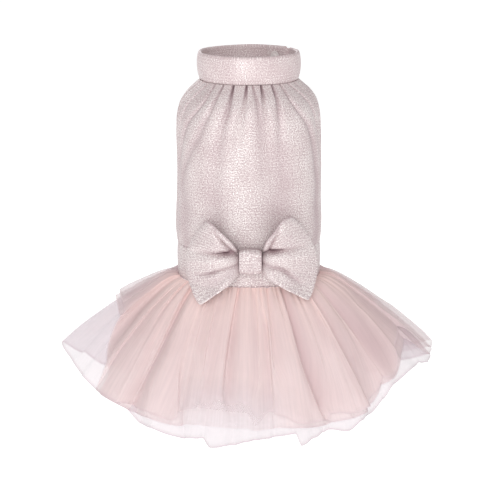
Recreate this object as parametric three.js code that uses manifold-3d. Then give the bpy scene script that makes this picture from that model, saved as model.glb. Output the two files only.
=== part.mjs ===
// Dress for a small dog: a gathered knit bodice with a stand-up collar, a waistband with a
// bow, and a skirt of three layers of tulle. It is filled out and open, as when it is worn.
// Millimetres, +Z up. The origin is the middle of the neck seam, where the collar is sewn on.
// The dog's back faces -Y, where the bow sits, and its belly faces +Y.
// An azimuth is in degrees from -Y, towards +X.

import * as THREE from 'three';
import Module from 'manifold-3d';

const DEGREE = Math.PI / 180;
const SEAM_GAP = 0.3;

// Collar: a doubled band that laps over itself on the belly side and closes with a snap.
const COLLAR_HEIGHT = 21;
const COLLAR_FOOT_RADIUS = 37.6;
const COLLAR_BULGE_SLOPE = 0.29;
const COLLAR_BULGE_CURVE = 0.0122;
const COLLAR_THICKNESS = 3;
const COLLAR_EDGE_ROUNDING = 0.8;
const COLLAR_SECTIONS = 56;
const LAP_OUTER_END = 131;
const LAP_INNER_END = 153;
const LAP_STEP_DELAY = 2;
const LAP_STEP_LENGTH = 8;
const NECK_POWER = 2.1;
const SNAP_RADIUS = 3.8;
const SNAP_THICKNESS = 1.2;
const SNAP_AZIMUTH = 142;
const SNAP_HEIGHT = 13.5;
const SNAP_SIDES = 20;

// Bodice: two panels, sewn together along the sides, where the leg holes are.
const BODICE_WALL = 1.8;
const SIDE_SEAM_AZIMUTH = 120;
const BELLY_COLUMNS = 26;
const COLUMNS_IN_A_GATHER = 3;
const GATHER_LIFT = 0.6;
const FAN_STRENGTH = 1.6;
const FAN_POWER = 1.5;
const FAN_END_Z = -75;
const BODICE_PROFILE = [
    { z: -0.3, radius: 36.7, gather: 1.3, power: 2.1 },
    { z: -3.2, radius: 39.6, gather: 1.5, power: 2.15 },
    { z: -8, radius: 45, gather: 1.3, power: 2.2 },
    { z: -14.5, radius: 49.9, gather: 1.0, power: 2.25 },
    { z: -24, radius: 53.1, gather: 0.8, power: 2.3 },
    { z: -38, radius: 54.2, gather: 0.8, power: 2.4 },
    { z: -58, radius: 54.8, gather: 0.7, power: 2.45 },
    { z: -88, radius: 55.3, gather: 0.5, power: 2.45 },
    { z: -119, radius: 55.6, gather: 0.25, power: 2.4 },
    { z: -123.4, radius: 54.9, gather: 0.2, power: 2.4 },
];
// The side seam's half gap, as an angle at the chest.
const CHEST_RADIUS = 54.2;
const SEAM_HALF_ANGLE = SEAM_GAP / 2 / CHEST_RADIUS / DEGREE;
// Creases between the gathers at the neck of the back panel. Depth 1 is an even gather.
const NECK_CREASES = [
    { azimuth: -112, depth: 0.5 },
    { azimuth: -99, depth: 0.6 },
    { azimuth: -86, depth: 0.7 },
    { azimuth: -73, depth: 0.7 },
    { azimuth: -62, depth: 0.8 },
    { azimuth: -51, depth: 0.8 },
    { azimuth: -41, depth: 0.8 },
    { azimuth: -29.5, depth: 1.1 },
    { azimuth: -17.5, depth: 1.4 },
    { azimuth: -9.7, depth: 0.5 },
    { azimuth: -2.4, depth: 1.3 },
    { azimuth: 4.3, depth: 0.6 },
    { azimuth: 14, depth: 1.4 },
    { azimuth: 20.5, depth: 0.5 },
    { azimuth: 27, depth: 1.4 },
    { azimuth: 38, depth: 0.9 },
    { azimuth: 50, depth: 0.8 },
    { azimuth: 63, depth: 0.7 },
    { azimuth: 76, depth: 0.7 },
    { azimuth: 89, depth: 0.7 },
    { azimuth: 101, depth: 0.6 },
    { azimuth: 113, depth: 0.5 },
];

// Leg holes: an ellipse cut through both panels at each side seam, with a rolled binding.
const LEG_HOLE_Z = -42;
const LEG_HOLE_HALF_WIDTH = 20;
const LEG_HOLE_HALF_HEIGHT = 23;
const LEG_HOLE_SIDES = 40;
const BINDING_WIDTH = 3;
const BINDING_DEPTH = 3.6;
const BINDING_STEPS = 36;
const BINDING_SECTION_POINTS = 6;
const BINDING_FIT_PASSES = 5;
const CUTTER_LENGTH = 60;
const CUTTER_MIDDLE_RADIUS = 58;
const WELD_DIGITS = 4;

// Waistband: a flat band between the bodice and the skirt.
const BAND_TOP_Z = -123.7;
const BAND_BOTTOM_Z = -149;
const BAND_WALL = 2.2;
const BAND_COLUMNS = 60;
const BAND_PROFILE = [
    { z: BAND_TOP_Z, radius: 54.6 },
    { z: -130, radius: 55.2 },
    { z: -142, radius: 55.3 },
    { z: BAND_BOTTOM_Z, radius: 54.9 },
];
const WAIST_POWER = 2.4;

// Bow: two hollow loops of a folded ribbon and a knot between them, on the waistband.
const BOW_WALL = 1.3;
const BOW_CREST_RADIUS = 61;
const BOW_WRAP = 0.0068;
const BOW_REST_Z = -146;
const BOW_REST_SLOPE = 0.6;
const BOW_ROWS = 10;
const BOW_COLUMNS = 14;
const BOW_BACK_OFFSET = 0.9;
const BOW_KNOT_HALF_GAP = 1.9;
const BOW_END_HALF_GAP = 5.4;
const BOW_PUFF = 2.6;
const BOW_OUT_POWER = 0.62;
const BOW_TURN_POWER = 1;
const BOW_NORMAL_STEP = 0.02;
const BOW_SIDE_POWER = 0.7;
const BOW_SPREAD_POWER = 1.5;
const BOW_FOLD_START = 0.15;
const BOW_FOLDS = [
    { across: 0.38, depth: 2.4, width: 0.09, reach: 0.8 },
    { across: 0.7, depth: 1.7, width: 0.08, reach: 0.6 },
];
const BOW_LEFT = {
    side: -1,
    bulge: 14.5,
    sections: [
        { along: 0, topOut: 8.1, topZ: -120, bottomOut: 8.1, bottomZ: -137.4 },
        { along: 0.3, topOut: 13, topZ: -111, bottomOut: 14.5, bottomZ: -145 },
        { along: 0.6, topOut: 20, topZ: -103.4, bottomOut: 22.5, bottomZ: -151.8 },
        { along: 0.85, topOut: 26, topZ: -98, bottomOut: 30, bottomZ: -157.4 },
        { along: 1, topOut: 28.7, topZ: -96.5, bottomOut: 34.9, bottomZ: -160.6 },
    ],
};
const BOW_RIGHT = {
    side: 1,
    bulge: 14,
    sections: [
        { along: 0, topOut: 10.3, topZ: -120, bottomOut: 10.3, bottomZ: -136.4 },
        { along: 0.3, topOut: 13, topZ: -110.5, bottomOut: 15, bottomZ: -139.6 },
        { along: 0.6, topOut: 18.6, topZ: -102.4, bottomOut: 25.1, bottomZ: -146.5 },
        { along: 0.85, topOut: 25, topZ: -94.4, bottomOut: 34.5, bottomZ: -152.6 },
        { along: 1, topOut: 29.5, topZ: -93.4, bottomOut: 43, bottomZ: -158.4 },
    ],
};
const KNOT_X = 1.1;
const KNOT_HALF_WIDTH = 8.4;
const KNOT_HALF_HEIGHT = 9.4;
const KNOT_Z = -127.3;
const KNOT_BACK_Y = -55.9;
const KNOT_DEPTH = 13.4;
const KNOT_STEPS = 8;
const KNOT_SECTION_POINTS = 16;
const KNOT_POWER = 4;
const KNOT_SIDE_FALL = 0.35;
const KNOT_SIDE_POWER = 4;

// Skirt: three layers gathered into the waist seam, in deep folds that all layers share.
// slope is the fall of the middle layer below level, and the three lengths are the layers',
// from the waist seam to the hem, measured straight.
const WAIST_SEAM_RADIUS = 55.3;
const WAIST_SEAM_Z = -149.4;
const TULLE_WALL = 1.2;
const LAYER_PITCH = 1.65;
const LAYER_SPREAD_SIDE = 1.5;
const LAYER_SPREAD_FRONT_EXTRA = 1.5;
const ARCH_FRONT = 5.5;
const ARCH_SIDE_EXTRA = 1.5;
const ARCH_LENGTH = 112;
const ARCH_WAIST_WEIGHT = 1.2;
const ARCH_HEM_LOSS = 0.4;
// At the sides the net springs out of the seam before it falls.
const SPRING_RISE = 3;
const SPRING_LENGTH = 9;
const SPRING_AZIMUTH = 80;
const SPRING_HALF_WIDTH = 18;
const WAIST_GATHER = 0.8;
const WAIST_GATHER_REACH = 0.4;
const FOLD_COLUMN_DEGREES = 3.2;
const SKIRT_FOLDS = [
    { azimuth: -180, slope: 55, top: 102, middle: 107, under: 114 },
    { azimuth: -166, slope: 60, top: 95, middle: 105, under: 118 },
    { azimuth: -156, slope: 53, top: 103, middle: 108, under: 114 },
    { azimuth: -146, slope: 56, top: 96, middle: 104, under: 116 },
    { azimuth: -136, slope: 49, top: 100, middle: 106, under: 113 },
    { azimuth: -126, slope: 60, top: 90, middle: 100, under: 113 },
    { azimuth: -115, slope: 60, top: 80, middle: 88, under: 111 },
    { azimuth: -104, slope: 53, top: 62, middle: 70, under: 108 },
    { azimuth: -95, slope: 41, top: 52, middle: 58, under: 105 },
    { azimuth: -88, slope: 29.7, top: 47, middle: 52, under: 108.5 },
    { azimuth: -77, slope: 36, top: 48, middle: 54, under: 106 },
    { azimuth: -70, slope: 40, top: 53, middle: 60, under: 106.5 },
    { azimuth: -63, slope: 47, top: 84, middle: 88, under: 107.5 },
    { azimuth: -54.5, slope: 47, top: 107.5, middle: 108, under: 107.5 },
    { azimuth: -49, slope: 51.5, top: 107.2, middle: 107.8, under: 107 },
    { azimuth: -45, slope: 57.5, top: 102.6, middle: 107, under: 112.8 },
    { azimuth: -38, slope: 54.5, top: 106, middle: 109, under: 114.2 },
    { azimuth: -32.5, slope: 59.5, top: 106.5, middle: 108.5, under: 115.3 },
    { azimuth: -29.8, slope: 62.5, top: 98.5, middle: 107, under: 115.5 },
    { azimuth: -23, slope: 60.5, top: 96, middle: 106, under: 114.8 },
    { azimuth: -16.5, slope: 59, top: 94.6, middle: 105.5, under: 114 },
    { azimuth: -14.5, slope: 61, top: 94.4, middle: 105.5, under: 120.2 },
    { azimuth: -7, slope: 64.5, top: 94.5, middle: 105.5, under: 117.2 },
    { azimuth: -1, slope: 61.5, top: 96, middle: 106, under: 115 },
    { azimuth: 2.8, slope: 63, top: 105, middle: 107.5, under: 113.6 },
    { azimuth: 6.4, slope: 64.5, top: 94.6, middle: 106, under: 112.6 },
    { azimuth: 12, slope: 62, top: 98.7, middle: 106, under: 111.4 },
    { azimuth: 19, slope: 59.5, top: 106.6, middle: 108, under: 110.9 },
    { azimuth: 21, slope: 59.5, top: 107.2, middle: 108.5, under: 119.9 },
    { azimuth: 27.5, slope: 60.5, top: 105.8, middle: 108.5, under: 115.3 },
    { azimuth: 32, slope: 61.5, top: 106.2, middle: 108, under: 112.3 },
    { azimuth: 34, slope: 60.5, top: 101.6, middle: 107, under: 111.4 },
    { azimuth: 39.5, slope: 55, top: 107.5, middle: 109.5, under: 116.4 },
    { azimuth: 44, slope: 52.5, top: 107.2, middle: 109.5, under: 112.6 },
    { azimuth: 49, slope: 53, top: 105.8, middle: 108.5, under: 110.6 },
    { azimuth: 52, slope: 53.5, top: 99.5, middle: 104, under: 110 },
    { azimuth: 56, slope: 49.5, top: 91.5, middle: 95, under: 105 },
    { azimuth: 62, slope: 43.5, top: 96, middle: 97.5, under: 100.5 },
    { azimuth: 67, slope: 40.5, top: 81, middle: 90, under: 100.4 },
    { azimuth: 75, slope: 38, top: 72, middle: 82, under: 102.6 },
    { azimuth: 85, slope: 37, top: 106, middle: 108.5, under: 111.5 },
    { azimuth: 92, slope: 36, top: 108, middle: 111, under: 114 },
    { azimuth: 102, slope: 47, top: 104, middle: 106, under: 110 },
    { azimuth: 113, slope: 58, top: 96, middle: 104, under: 111 },
    { azimuth: 125, slope: 60, top: 94, middle: 103, under: 113 },
    { azimuth: 136, slope: 49, top: 101, middle: 107, under: 114 },
    { azimuth: 147, slope: 56, top: 95, middle: 104, under: 116 },
    { azimuth: 157, slope: 53, top: 103, middle: 108, under: 115 },
    { azimuth: 168, slope: 60, top: 96, middle: 105, under: 117 },
    { azimuth: 180, slope: 55, top: 102, middle: 107, under: 114 },
];
const SKIRT_LAYERS = [
    { name: 'skirt_top', lengths: 'top', order: 0, rows: [0, 0.13, 0.42, 0.72, 1], colour: '#ecd5d2' },
    { name: 'skirt_middle', lengths: 'middle', order: 1, rows: [0, 0.13, 0.42, 0.72, 1], colour: '#eedcda' },
    { name: 'skirt_under', lengths: 'under', order: 2, rows: [0, 0.13, 0.42, 0.72, 1], colour: '#f1e6e7' },
];

const KNIT = { color: '#e5d8d6', roughness: 0.6, metalness: 0.15 };
const BINDING = { color: '#dccdcb', roughness: 0.7, metalness: 0.1 };
const SNAP = { color: '#e8e4e2', roughness: 0.35, metalness: 0 };
const TULLE_ROUGHNESS = 0.9;

const wasm = await Module();
wasm.setup();

// The point at an azimuth, a distance from the axis and a height.
function polarPoint(azimuth, radius, z) {
    const angle = azimuth * DEGREE;
    return [radius * Math.sin(angle), -radius * Math.cos(angle), z];
}

// How far a rounded square ring of half width 1 reaches at an azimuth. Power 2 is a circle.
function ringReach(azimuth, power) {
    const cosine = Math.abs(Math.cos(azimuth * DEGREE));
    const sine = Math.abs(Math.sin(azimuth * DEGREE));
    return (cosine ** power + sine ** power) ** (-1 / power);
}

function mix(a, b, share) {
    return a + (b - a) * share;
}

// The value of a table's column at a place along another column, eased between the rows
// with a smooth step, or straight.
function tableValue(table, along, column, place, eased = false) {
    const last = table.length - 1;
    const upward = table[last][along] > table[0][along];
    const sign = upward ? 1 : -1;
    let row = 0;
    while (row < last - 1 && sign * table[row + 1][along] < sign * place) {
        row += 1;
    }
    const start = table[row][along];
    const share = Math.min(1, Math.max(0, (place - start) / (table[row + 1][along] - start)));
    const weight = eased ? share * share * (3 - 2 * share) : share;
    return mix(table[row][column], table[row + 1][column], weight);
}

// A closed body from points and triangles, with its faces turned out.
function closedGeometry(points, triangles) {
    let volume = 0;
    for (const [a, b, c] of triangles) {
        const [p, q, r] = [points[a], points[b], points[c]];
        volume += p[0] * (q[1] * r[2] - q[2] * r[1]);
        volume += p[1] * (q[2] * r[0] - q[0] * r[2]);
        volume += p[2] * (q[0] * r[1] - q[1] * r[0]);
    }
    const outward = volume > 0 ? triangles : triangles.map(([a, b, c]) => [a, c, b]);
    const geometry = new THREE.BufferGeometry();
    geometry.setAttribute('position', new THREE.Float32BufferAttribute(points.flat(), 3));
    geometry.setIndex(outward.flat());
    geometry.computeVertexNormals();
    return geometry;
}

// A cloth wall between an outer and an inner grid of points, [row][column]. A ring closes
// on itself along its rows; a panel has two side edges.
function clothWall(outer, inner, isRing) {
    const rows = outer.length;
    const columns = outer[0].length;
    const spans = isRing ? columns : columns - 1;
    const triangles = [];
    const at = (side, row, column) => (side * rows + row) * columns + (column % columns);
    const quad = (a, b, c, d) => triangles.push([a, b, c], [a, c, d]);
    for (let column = 0; column < spans; column += 1) {
        const next = column + 1;
        for (let row = 0; row < rows - 1; row += 1) {
            quad(at(0, row, column), at(0, row, next), at(0, row + 1, next), at(0, row + 1, column));
            quad(at(1, row, column), at(1, row + 1, column), at(1, row + 1, next), at(1, row, next));
        }
        const end = rows - 1;
        quad(at(0, 0, column), at(1, 0, column), at(1, 0, next), at(0, 0, next));
        quad(at(0, end, column), at(0, end, next), at(1, end, next), at(1, end, column));
    }
    if (!isRing) {
        const edge = columns - 1;
        for (let row = 0; row < rows - 1; row += 1) {
            quad(at(0, row, 0), at(0, row + 1, 0), at(1, row + 1, 0), at(1, row, 0));
            quad(at(0, row, edge), at(1, row, edge), at(1, row + 1, edge), at(0, row + 1, edge));
        }
    }
    return closedGeometry([...outer.flat(), ...inner.flat()], triangles);
}

// A solid swept through closed section loops, [section][point]. An open sweep has flat ends.
function sweptSolid(sections, isRing) {
    const count = sections[0].length;
    const spans = isRing ? sections.length : sections.length - 1;
    const triangles = [];
    const at = (section, point) => (section % sections.length) * count + (point % count);
    for (let section = 0; section < spans; section += 1) {
        for (let point = 0; point < count; point += 1) {
            const [a, b] = [at(section, point), at(section, point + 1)];
            const [c, d] = [at(section + 1, point + 1), at(section + 1, point)];
            triangles.push([a, b, c], [a, c, d]);
        }
    }
    if (!isRing) {
        const end = sections.length - 1;
        for (let point = 1; point < count - 1; point += 1) {
            triangles.push([at(0, 0), at(0, point + 1), at(0, point)]);
            triangles.push([at(end, 0), at(end, point), at(end, point + 1)]);
        }
    }
    return closedGeometry(sections.flat(), triangles);
}

function toManifold(geometry) {
    return new wasm.Manifold(new wasm.Mesh({
        numProp: 3,
        vertProperties: new Float32Array(geometry.attributes.position.array),
        triVerts: new Uint32Array(geometry.index.array),
    }));
}

function fromManifold(solid) {
    const mesh = solid.getMesh();
    const geometry = new THREE.BufferGeometry();
    geometry.setAttribute('position', new THREE.Float32BufferAttribute(mesh.vertProperties, 3));
    geometry.setIndex([...mesh.triVerts]);
    geometry.computeVertexNormals();
    return geometry;
}

// Where a crease that starts at an azimuth at the neck has spread to, lower down.
function fannedAzimuth(azimuth, z) {
    const share = Math.abs(azimuth) / SIDE_SEAM_AZIMUTH;
    const spread = share * (1 + FAN_STRENGTH * (1 - share) ** FAN_POWER);
    const fallen = Math.min(1, z / FAN_END_Z);
    return Math.sign(azimuth) * SIDE_SEAM_AZIMUTH * mix(share, spread, fallen);
}

// The columns of the back panel: each crease, and points across the gather beside it.
function gatherColumns() {
    const ends = [
        { azimuth: -SIDE_SEAM_AZIMUTH, depth: 0 },
        ...NECK_CREASES,
        { azimuth: SIDE_SEAM_AZIMUTH, depth: 0 },
    ];
    const columns = [];
    for (let i = 0; i < ends.length - 1; i += 1) {
        columns.push({ azimuth: ends[i].azimuth, lift: -ends[i].depth });
        for (let k = 1; k < COLUMNS_IN_A_GATHER; k += 1) {
            const azimuth = mix(ends[i].azimuth, ends[i + 1].azimuth, k / COLUMNS_IN_A_GATHER);
            columns.push({ azimuth, lift: GATHER_LIFT });
        }
    }
    columns.push({ azimuth: SIDE_SEAM_AZIMUTH, lift: 0 });
    return columns;
}

// The outer and inner points of a bodice panel. Each column has an azimuth at the neck and
// a lift, which is how far it stands out of the panel as a share of the gather.
function bodicePanel(columns, azimuthAt) {
    const outer = [];
    const inner = [];
    BODICE_PROFILE.forEach((row, index) => {
        const above = BODICE_PROFILE[Math.max(0, index - 1)];
        const below = BODICE_PROFILE[Math.min(BODICE_PROFILE.length - 1, index + 1)];
        const run = below.radius - above.radius;
        const fall = above.z - below.z;
        const length = Math.hypot(run, fall);
        const inward = BODICE_WALL * fall / length;
        const downward = BODICE_WALL * run / length;
        const outerRow = [];
        const innerRow = [];
        for (const column of columns) {
            const azimuth = azimuthAt(column.azimuth, row.z);
            const reach = row.radius * ringReach(azimuth, row.power) + row.gather * column.lift;
            outerRow.push(polarPoint(azimuth, reach, row.z));
            innerRow.push(polarPoint(azimuth, reach - inward, row.z - downward));
        }
        outer.push(outerRow);
        inner.push(innerRow);
    });
    return clothWall(outer, inner, false);
}

function legHoleCutter(azimuth) {
    const geometry = new THREE.CylinderGeometry(1, 1, CUTTER_LENGTH, LEG_HOLE_SIDES);
    geometry.scale(LEG_HOLE_HALF_WIDTH, 1, LEG_HOLE_HALF_HEIGHT);
    geometry.rotateZ(azimuth * DEGREE);
    const [x, y, z] = polarPoint(azimuth, CUTTER_MIDDLE_RADIUS, LEG_HOLE_Z);
    geometry.translate(x, y, z);
    return geometry;
}

// The faces of a round cutter or disc meet in split edges, so equal points are welded.
function welded(geometry) {
    const source = geometry.attributes.position;
    const points = [];
    const known = new Map();
    const renumbered = [];
    for (let i = 0; i < source.count; i += 1) {
        const point = [source.getX(i), source.getY(i), source.getZ(i)];
        const key = point.map((value) => value.toFixed(WELD_DIGITS)).join();
        if (!known.has(key)) {
            known.set(key, points.length);
            points.push(point);
        }
        renumbered.push(known.get(key));
    }
    const triangles = [];
    for (let i = 0; i < geometry.index.count; i += 3) {
        const corners = [0, 1, 2].map((k) => renumbered[geometry.index.getX(i + k)]);
        if (new Set(corners).size === 3) {
            triangles.push(corners);
        }
    }
    return closedGeometry(points, triangles);
}

function withLegHoles(panel) {
    let solid = toManifold(panel);
    for (const azimuth of [-SIDE_SEAM_AZIMUTH, SIDE_SEAM_AZIMUTH]) {
        solid = solid.subtract(toManifold(welded(legHoleCutter(azimuth))));
    }
    return fromManifold(solid);
}

function bodiceBack() {
    const columns = gatherColumns();
    const shrink = 1 - SEAM_HALF_ANGLE / SIDE_SEAM_AZIMUTH;
    const panel = bodicePanel(columns, (azimuth, z) => fannedAzimuth(azimuth, z) * shrink);
    return withLegHoles(panel);
}

function bodiceBelly() {
    const start = SIDE_SEAM_AZIMUTH + SEAM_HALF_ANGLE;
    const end = 360 - start;
    const columns = [];
    for (let i = 0; i <= BELLY_COLUMNS; i += 1) {
        columns.push({ azimuth: mix(start, end, i / BELLY_COLUMNS), lift: 0 });
    }
    return withLegHoles(bodicePanel(columns, (azimuth) => azimuth));
}

// The middle of the bodice wall at an azimuth and a height, as a distance from the axis.
function bodiceMiddle(azimuth, z) {
    const radius = tableValue(BODICE_PROFILE, 'z', 'radius', z);
    const power = tableValue(BODICE_PROFILE, 'z', 'power', z);
    return radius * ringReach(azimuth, power) - BODICE_WALL / 2;
}

// A rolled binding that lines a leg hole and follows the curve of the panels.
function legHoleBinding(azimuth) {
    const halfWidth = LEG_HOLE_HALF_WIDTH - SEAM_GAP - BINDING_WIDTH / 2;
    const halfHeight = LEG_HOLE_HALF_HEIGHT - SEAM_GAP - BINDING_WIDTH / 2;
    const angle = azimuth * DEGREE;
    const outward = [Math.sin(angle), -Math.cos(angle)];
    const sideways = [Math.cos(angle), Math.sin(angle)];
    const sections = [];
    for (let step = 0; step < BINDING_STEPS; step += 1) {
        const turn = 2 * Math.PI * step / BINDING_STEPS;
        const normal = [Math.cos(turn) / halfWidth, Math.sin(turn) / halfHeight];
        const length = Math.hypot(...normal);
        const section = [];
        for (let point = 0; point < BINDING_SECTION_POINTS; point += 1) {
            const around = 2 * Math.PI * (point + 0.5) / BINDING_SECTION_POINTS;
            const across = BINDING_WIDTH / 2 * Math.cos(around);
            const side = halfWidth * Math.cos(turn) + across * normal[0] / length;
            const z = LEG_HOLE_Z + halfHeight * Math.sin(turn) + across * normal[1] / length;
            let out = CHEST_RADIUS;
            for (let pass = 0; pass < BINDING_FIT_PASSES; pass += 1) {
                const middle = bodiceMiddle(azimuth + Math.atan2(side, out) / DEGREE, z);
                out = Math.sqrt(middle ** 2 - side ** 2);
            }
            out += BINDING_DEPTH / 2 * Math.sin(around);
            section.push([
                out * outward[0] + side * sideways[0],
                out * outward[1] + side * sideways[1],
                z,
            ]);
        }
        sections.push(section);
    }
    return sweptSolid(sections, true);
}

function collarRadius(z) {
    return COLLAR_FOOT_RADIUS + COLLAR_BULGE_SLOPE * z - COLLAR_BULGE_CURVE * z * z;
}

// The collar band, from its inner end, under the lap, once round and over the inner end.
function collarBand() {
    const round = COLLAR_EDGE_ROUNDING;
    const wall = COLLAR_THICKNESS;
    const outline = [
        { inset: 0, z: round },
        { inset: 0, z: COLLAR_HEIGHT / 2 },
        { inset: 0, z: COLLAR_HEIGHT - round },
        { inset: round, z: COLLAR_HEIGHT },
        { inset: wall - round, z: COLLAR_HEIGHT },
        { inset: wall, z: COLLAR_HEIGHT - round },
        { inset: wall, z: COLLAR_HEIGHT / 2 },
        { inset: wall, z: round },
        { inset: wall - round, z: 0 },
        { inset: round, z: 0 },
    ];
    const lap = LAP_INNER_END - LAP_OUTER_END;
    const turn = 360 + lap;
    const sections = [];
    for (let step = 0; step <= COLLAR_SECTIONS; step += 1) {
        const travelled = turn * step / COLLAR_SECTIONS;
        const azimuth = LAP_INNER_END - travelled;
        const stepped = Math.min(1, Math.max(0, (travelled - lap - LAP_STEP_DELAY) / LAP_STEP_LENGTH));
        const under = (wall + SEAM_GAP) * (1 - stepped * stepped * (3 - 2 * stepped));
        sections.push(outline.map(({ inset, z }) => {
            const reach = collarRadius(z) * ringReach(azimuth, NECK_POWER);
            return polarPoint(azimuth, reach - under - inset, z);
        }));
    }
    return sweptSolid(sections, false);
}

// The snap on the inner face of the lap's inner end.
function collarSnap() {
    const face = collarRadius(SNAP_HEIGHT) * ringReach(SNAP_AZIMUTH, NECK_POWER)
        - 2 * COLLAR_THICKNESS - SEAM_GAP;
    const sag = SNAP_RADIUS ** 2 / (2 * face) + COLLAR_BULGE_CURVE * SNAP_RADIUS ** 2;
    const distance = face - SEAM_GAP - sag - SNAP_THICKNESS / 2;
    const geometry = new THREE.CylinderGeometry(
        SNAP_RADIUS,
        SNAP_RADIUS,
        SNAP_THICKNESS,
        SNAP_SIDES,
    );
    geometry.rotateZ(SNAP_AZIMUTH * DEGREE);
    const [x, y, z] = polarPoint(SNAP_AZIMUTH, distance, SNAP_HEIGHT);
    geometry.translate(x, y, z);
    return welded(geometry);
}

function waistband() {
    const outer = [];
    const inner = [];
    for (const row of BAND_PROFILE) {
        const outerRow = [];
        const innerRow = [];
        for (let column = 0; column < BAND_COLUMNS; column += 1) {
            const azimuth = 360 * column / BAND_COLUMNS;
            const reach = row.radius * ringReach(azimuth, WAIST_POWER);
            outerRow.push(polarPoint(azimuth, reach, row.z));
            innerRow.push(polarPoint(azimuth, reach - BAND_WALL, row.z));
        }
        outer.push(outerRow);
        inner.push(innerRow);
    }
    return clothWall(outer, inner, true);
}

// Where the back of a bow loop lies: it wraps round the waist, and its lower corner is
// pushed forward where it rests on the skirt.
function bowDepth(x, z) {
    const wrapped = BOW_CREST_RADIUS - BOW_WRAP * x * x;
    return -(wrapped + BOW_REST_SLOPE * Math.max(0, BOW_REST_Z - z));
}

// A bow loop: for each row, from its top edge to its bottom edge, the ribbon runs from the
// knot out along the back, round the outer end and back along the front.
function bowLoop({ side, bulge, sections }) {
    const middleLine = (across, run) => {
        const turn = Math.PI * run;
        const along = Math.sin(turn) ** BOW_OUT_POWER;
        const topOut = tableValue(sections, 'along', 'topOut', along);
        const topZ = tableValue(sections, 'along', 'topZ', along);
        const bottomOut = tableValue(sections, 'along', 'bottomOut', along);
        const bottomZ = tableValue(sections, 'along', 'bottomZ', along);
        const round = Math.sin(Math.PI * across) ** BOW_SIDE_POWER;
        const out = mix(topOut, bottomOut, across) + bulge * round * along ** BOW_SPREAD_POWER;
        const z = mix(topZ, bottomZ, across);
        const cosine = Math.cos(turn);
        const halfGap = mix(BOW_KNOT_HALF_GAP, BOW_END_HALF_GAP, along)
            + BOW_PUFF * Math.sin(Math.PI * along);
        let depth = halfGap * (1 - Math.sign(cosine) * Math.abs(cosine) ** BOW_TURN_POWER);
        if (run > 0.5) {
            for (const fold of BOW_FOLDS) {
                const trough = Math.exp(-(((across - fold.across) / fold.width) ** 2));
                const fade = Math.max(0, 1 - along / fold.reach)
                    * Math.min(1, along / BOW_FOLD_START);
                depth -= fold.depth * trough * fade;
            }
        }
        return [side * out, bowDepth(out, z) + BOW_BACK_OFFSET - depth, z];
    };
    const outer = [];
    const inner = [];
    for (let row = 0; row <= BOW_ROWS; row += 1) {
        const across = row / BOW_ROWS;
        const outerRow = [];
        const innerRow = [];
        for (let column = 0; column <= BOW_COLUMNS; column += 1) {
            const run = column / BOW_COLUMNS;
            const point = middleLine(across, run);
            const before = middleLine(across, Math.max(0, run - BOW_NORMAL_STEP));
            const after = middleLine(across, Math.min(1, run + BOW_NORMAL_STEP));
            const [dx, dy] = [after[0] - before[0], after[1] - before[1]];
            const length = Math.hypot(dx, dy);
            const half = BOW_WALL / 2 * side;
            const normal = [-dy / length * half, dx / length * half];
            outerRow.push([point[0] + normal[0], point[1] + normal[1], point[2]]);
            innerRow.push([point[0] - normal[0], point[1] - normal[1], point[2]]);
        }
        outer.push(outerRow);
        inner.push(innerRow);
    }
    return clothWall(outer, inner, false);
}

// The knot: a pillow of gathered ribbon, flat where it lies on the waistband.
function bowKnot() {
    const sections = [];
    for (let step = 0; step <= KNOT_STEPS; step += 1) {
        const share = 2 * step / KNOT_STEPS - 1;
        const plump = Math.sqrt(1 - KNOT_SIDE_FALL * Math.abs(share) ** KNOT_SIDE_POWER);
        const section = [];
        for (let point = 0; point < KNOT_SECTION_POINTS; point += 1) {
            const angle = 360 * point / KNOT_SECTION_POINTS;
            const reach = ringReach(angle, KNOT_POWER);
            const forward = reach * Math.cos(angle * DEGREE) * KNOT_DEPTH / 2;
            const upward = reach * Math.sin(angle * DEGREE) * KNOT_HALF_HEIGHT;
            section.push([
                KNOT_X + KNOT_HALF_WIDTH * share,
                KNOT_BACK_Y - KNOT_DEPTH / 2 - forward * plump,
                KNOT_Z + upward * plump,
            ]);
        }
        sections.push(section);
    }
    return sweptSolid(sections, false);
}

// The skirt's columns: each row of the fold table and even steps between the rows. Their
// number is even, so that waist gathers alternate all round.
function foldColumns() {
    const columns = [];
    for (let i = 0; i < SKIRT_FOLDS.length - 1; i += 1) {
        const start = SKIRT_FOLDS[i].azimuth;
        const width = SKIRT_FOLDS[i + 1].azimuth - start;
        const steps = Math.max(1, Math.round(width / FOLD_COLUMN_DEGREES));
        for (let step = 0; step < steps; step += 1) {
            columns.push(start + width * step / steps);
        }
    }
    if (columns.length % 2 === 1) {
        const lastFold = SKIRT_FOLDS[SKIRT_FOLDS.length - 1];
        columns.push((columns[columns.length - 1] + lastFold.azimuth) / 2);
    }
    return columns;
}

// How high the cloth arches above the straight line from waist to hem, as a share.
function archShare(distance) {
    const share = distance / ARCH_LENGTH;
    return 4 * share * (1 - share) * (ARCH_WAIST_WEIGHT - ARCH_HEM_LOSS * share);
}

// How far the net springs up where it leaves the waist seam at the sides.
function springRise(azimuth, distance) {
    const aside = (Math.abs(azimuth) - SPRING_AZIMUTH) / SPRING_HALF_WIDTH;
    const share = distance / SPRING_LENGTH;
    return SPRING_RISE * Math.exp(-aside * aside) * share * Math.exp(1 - share);
}

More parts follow.
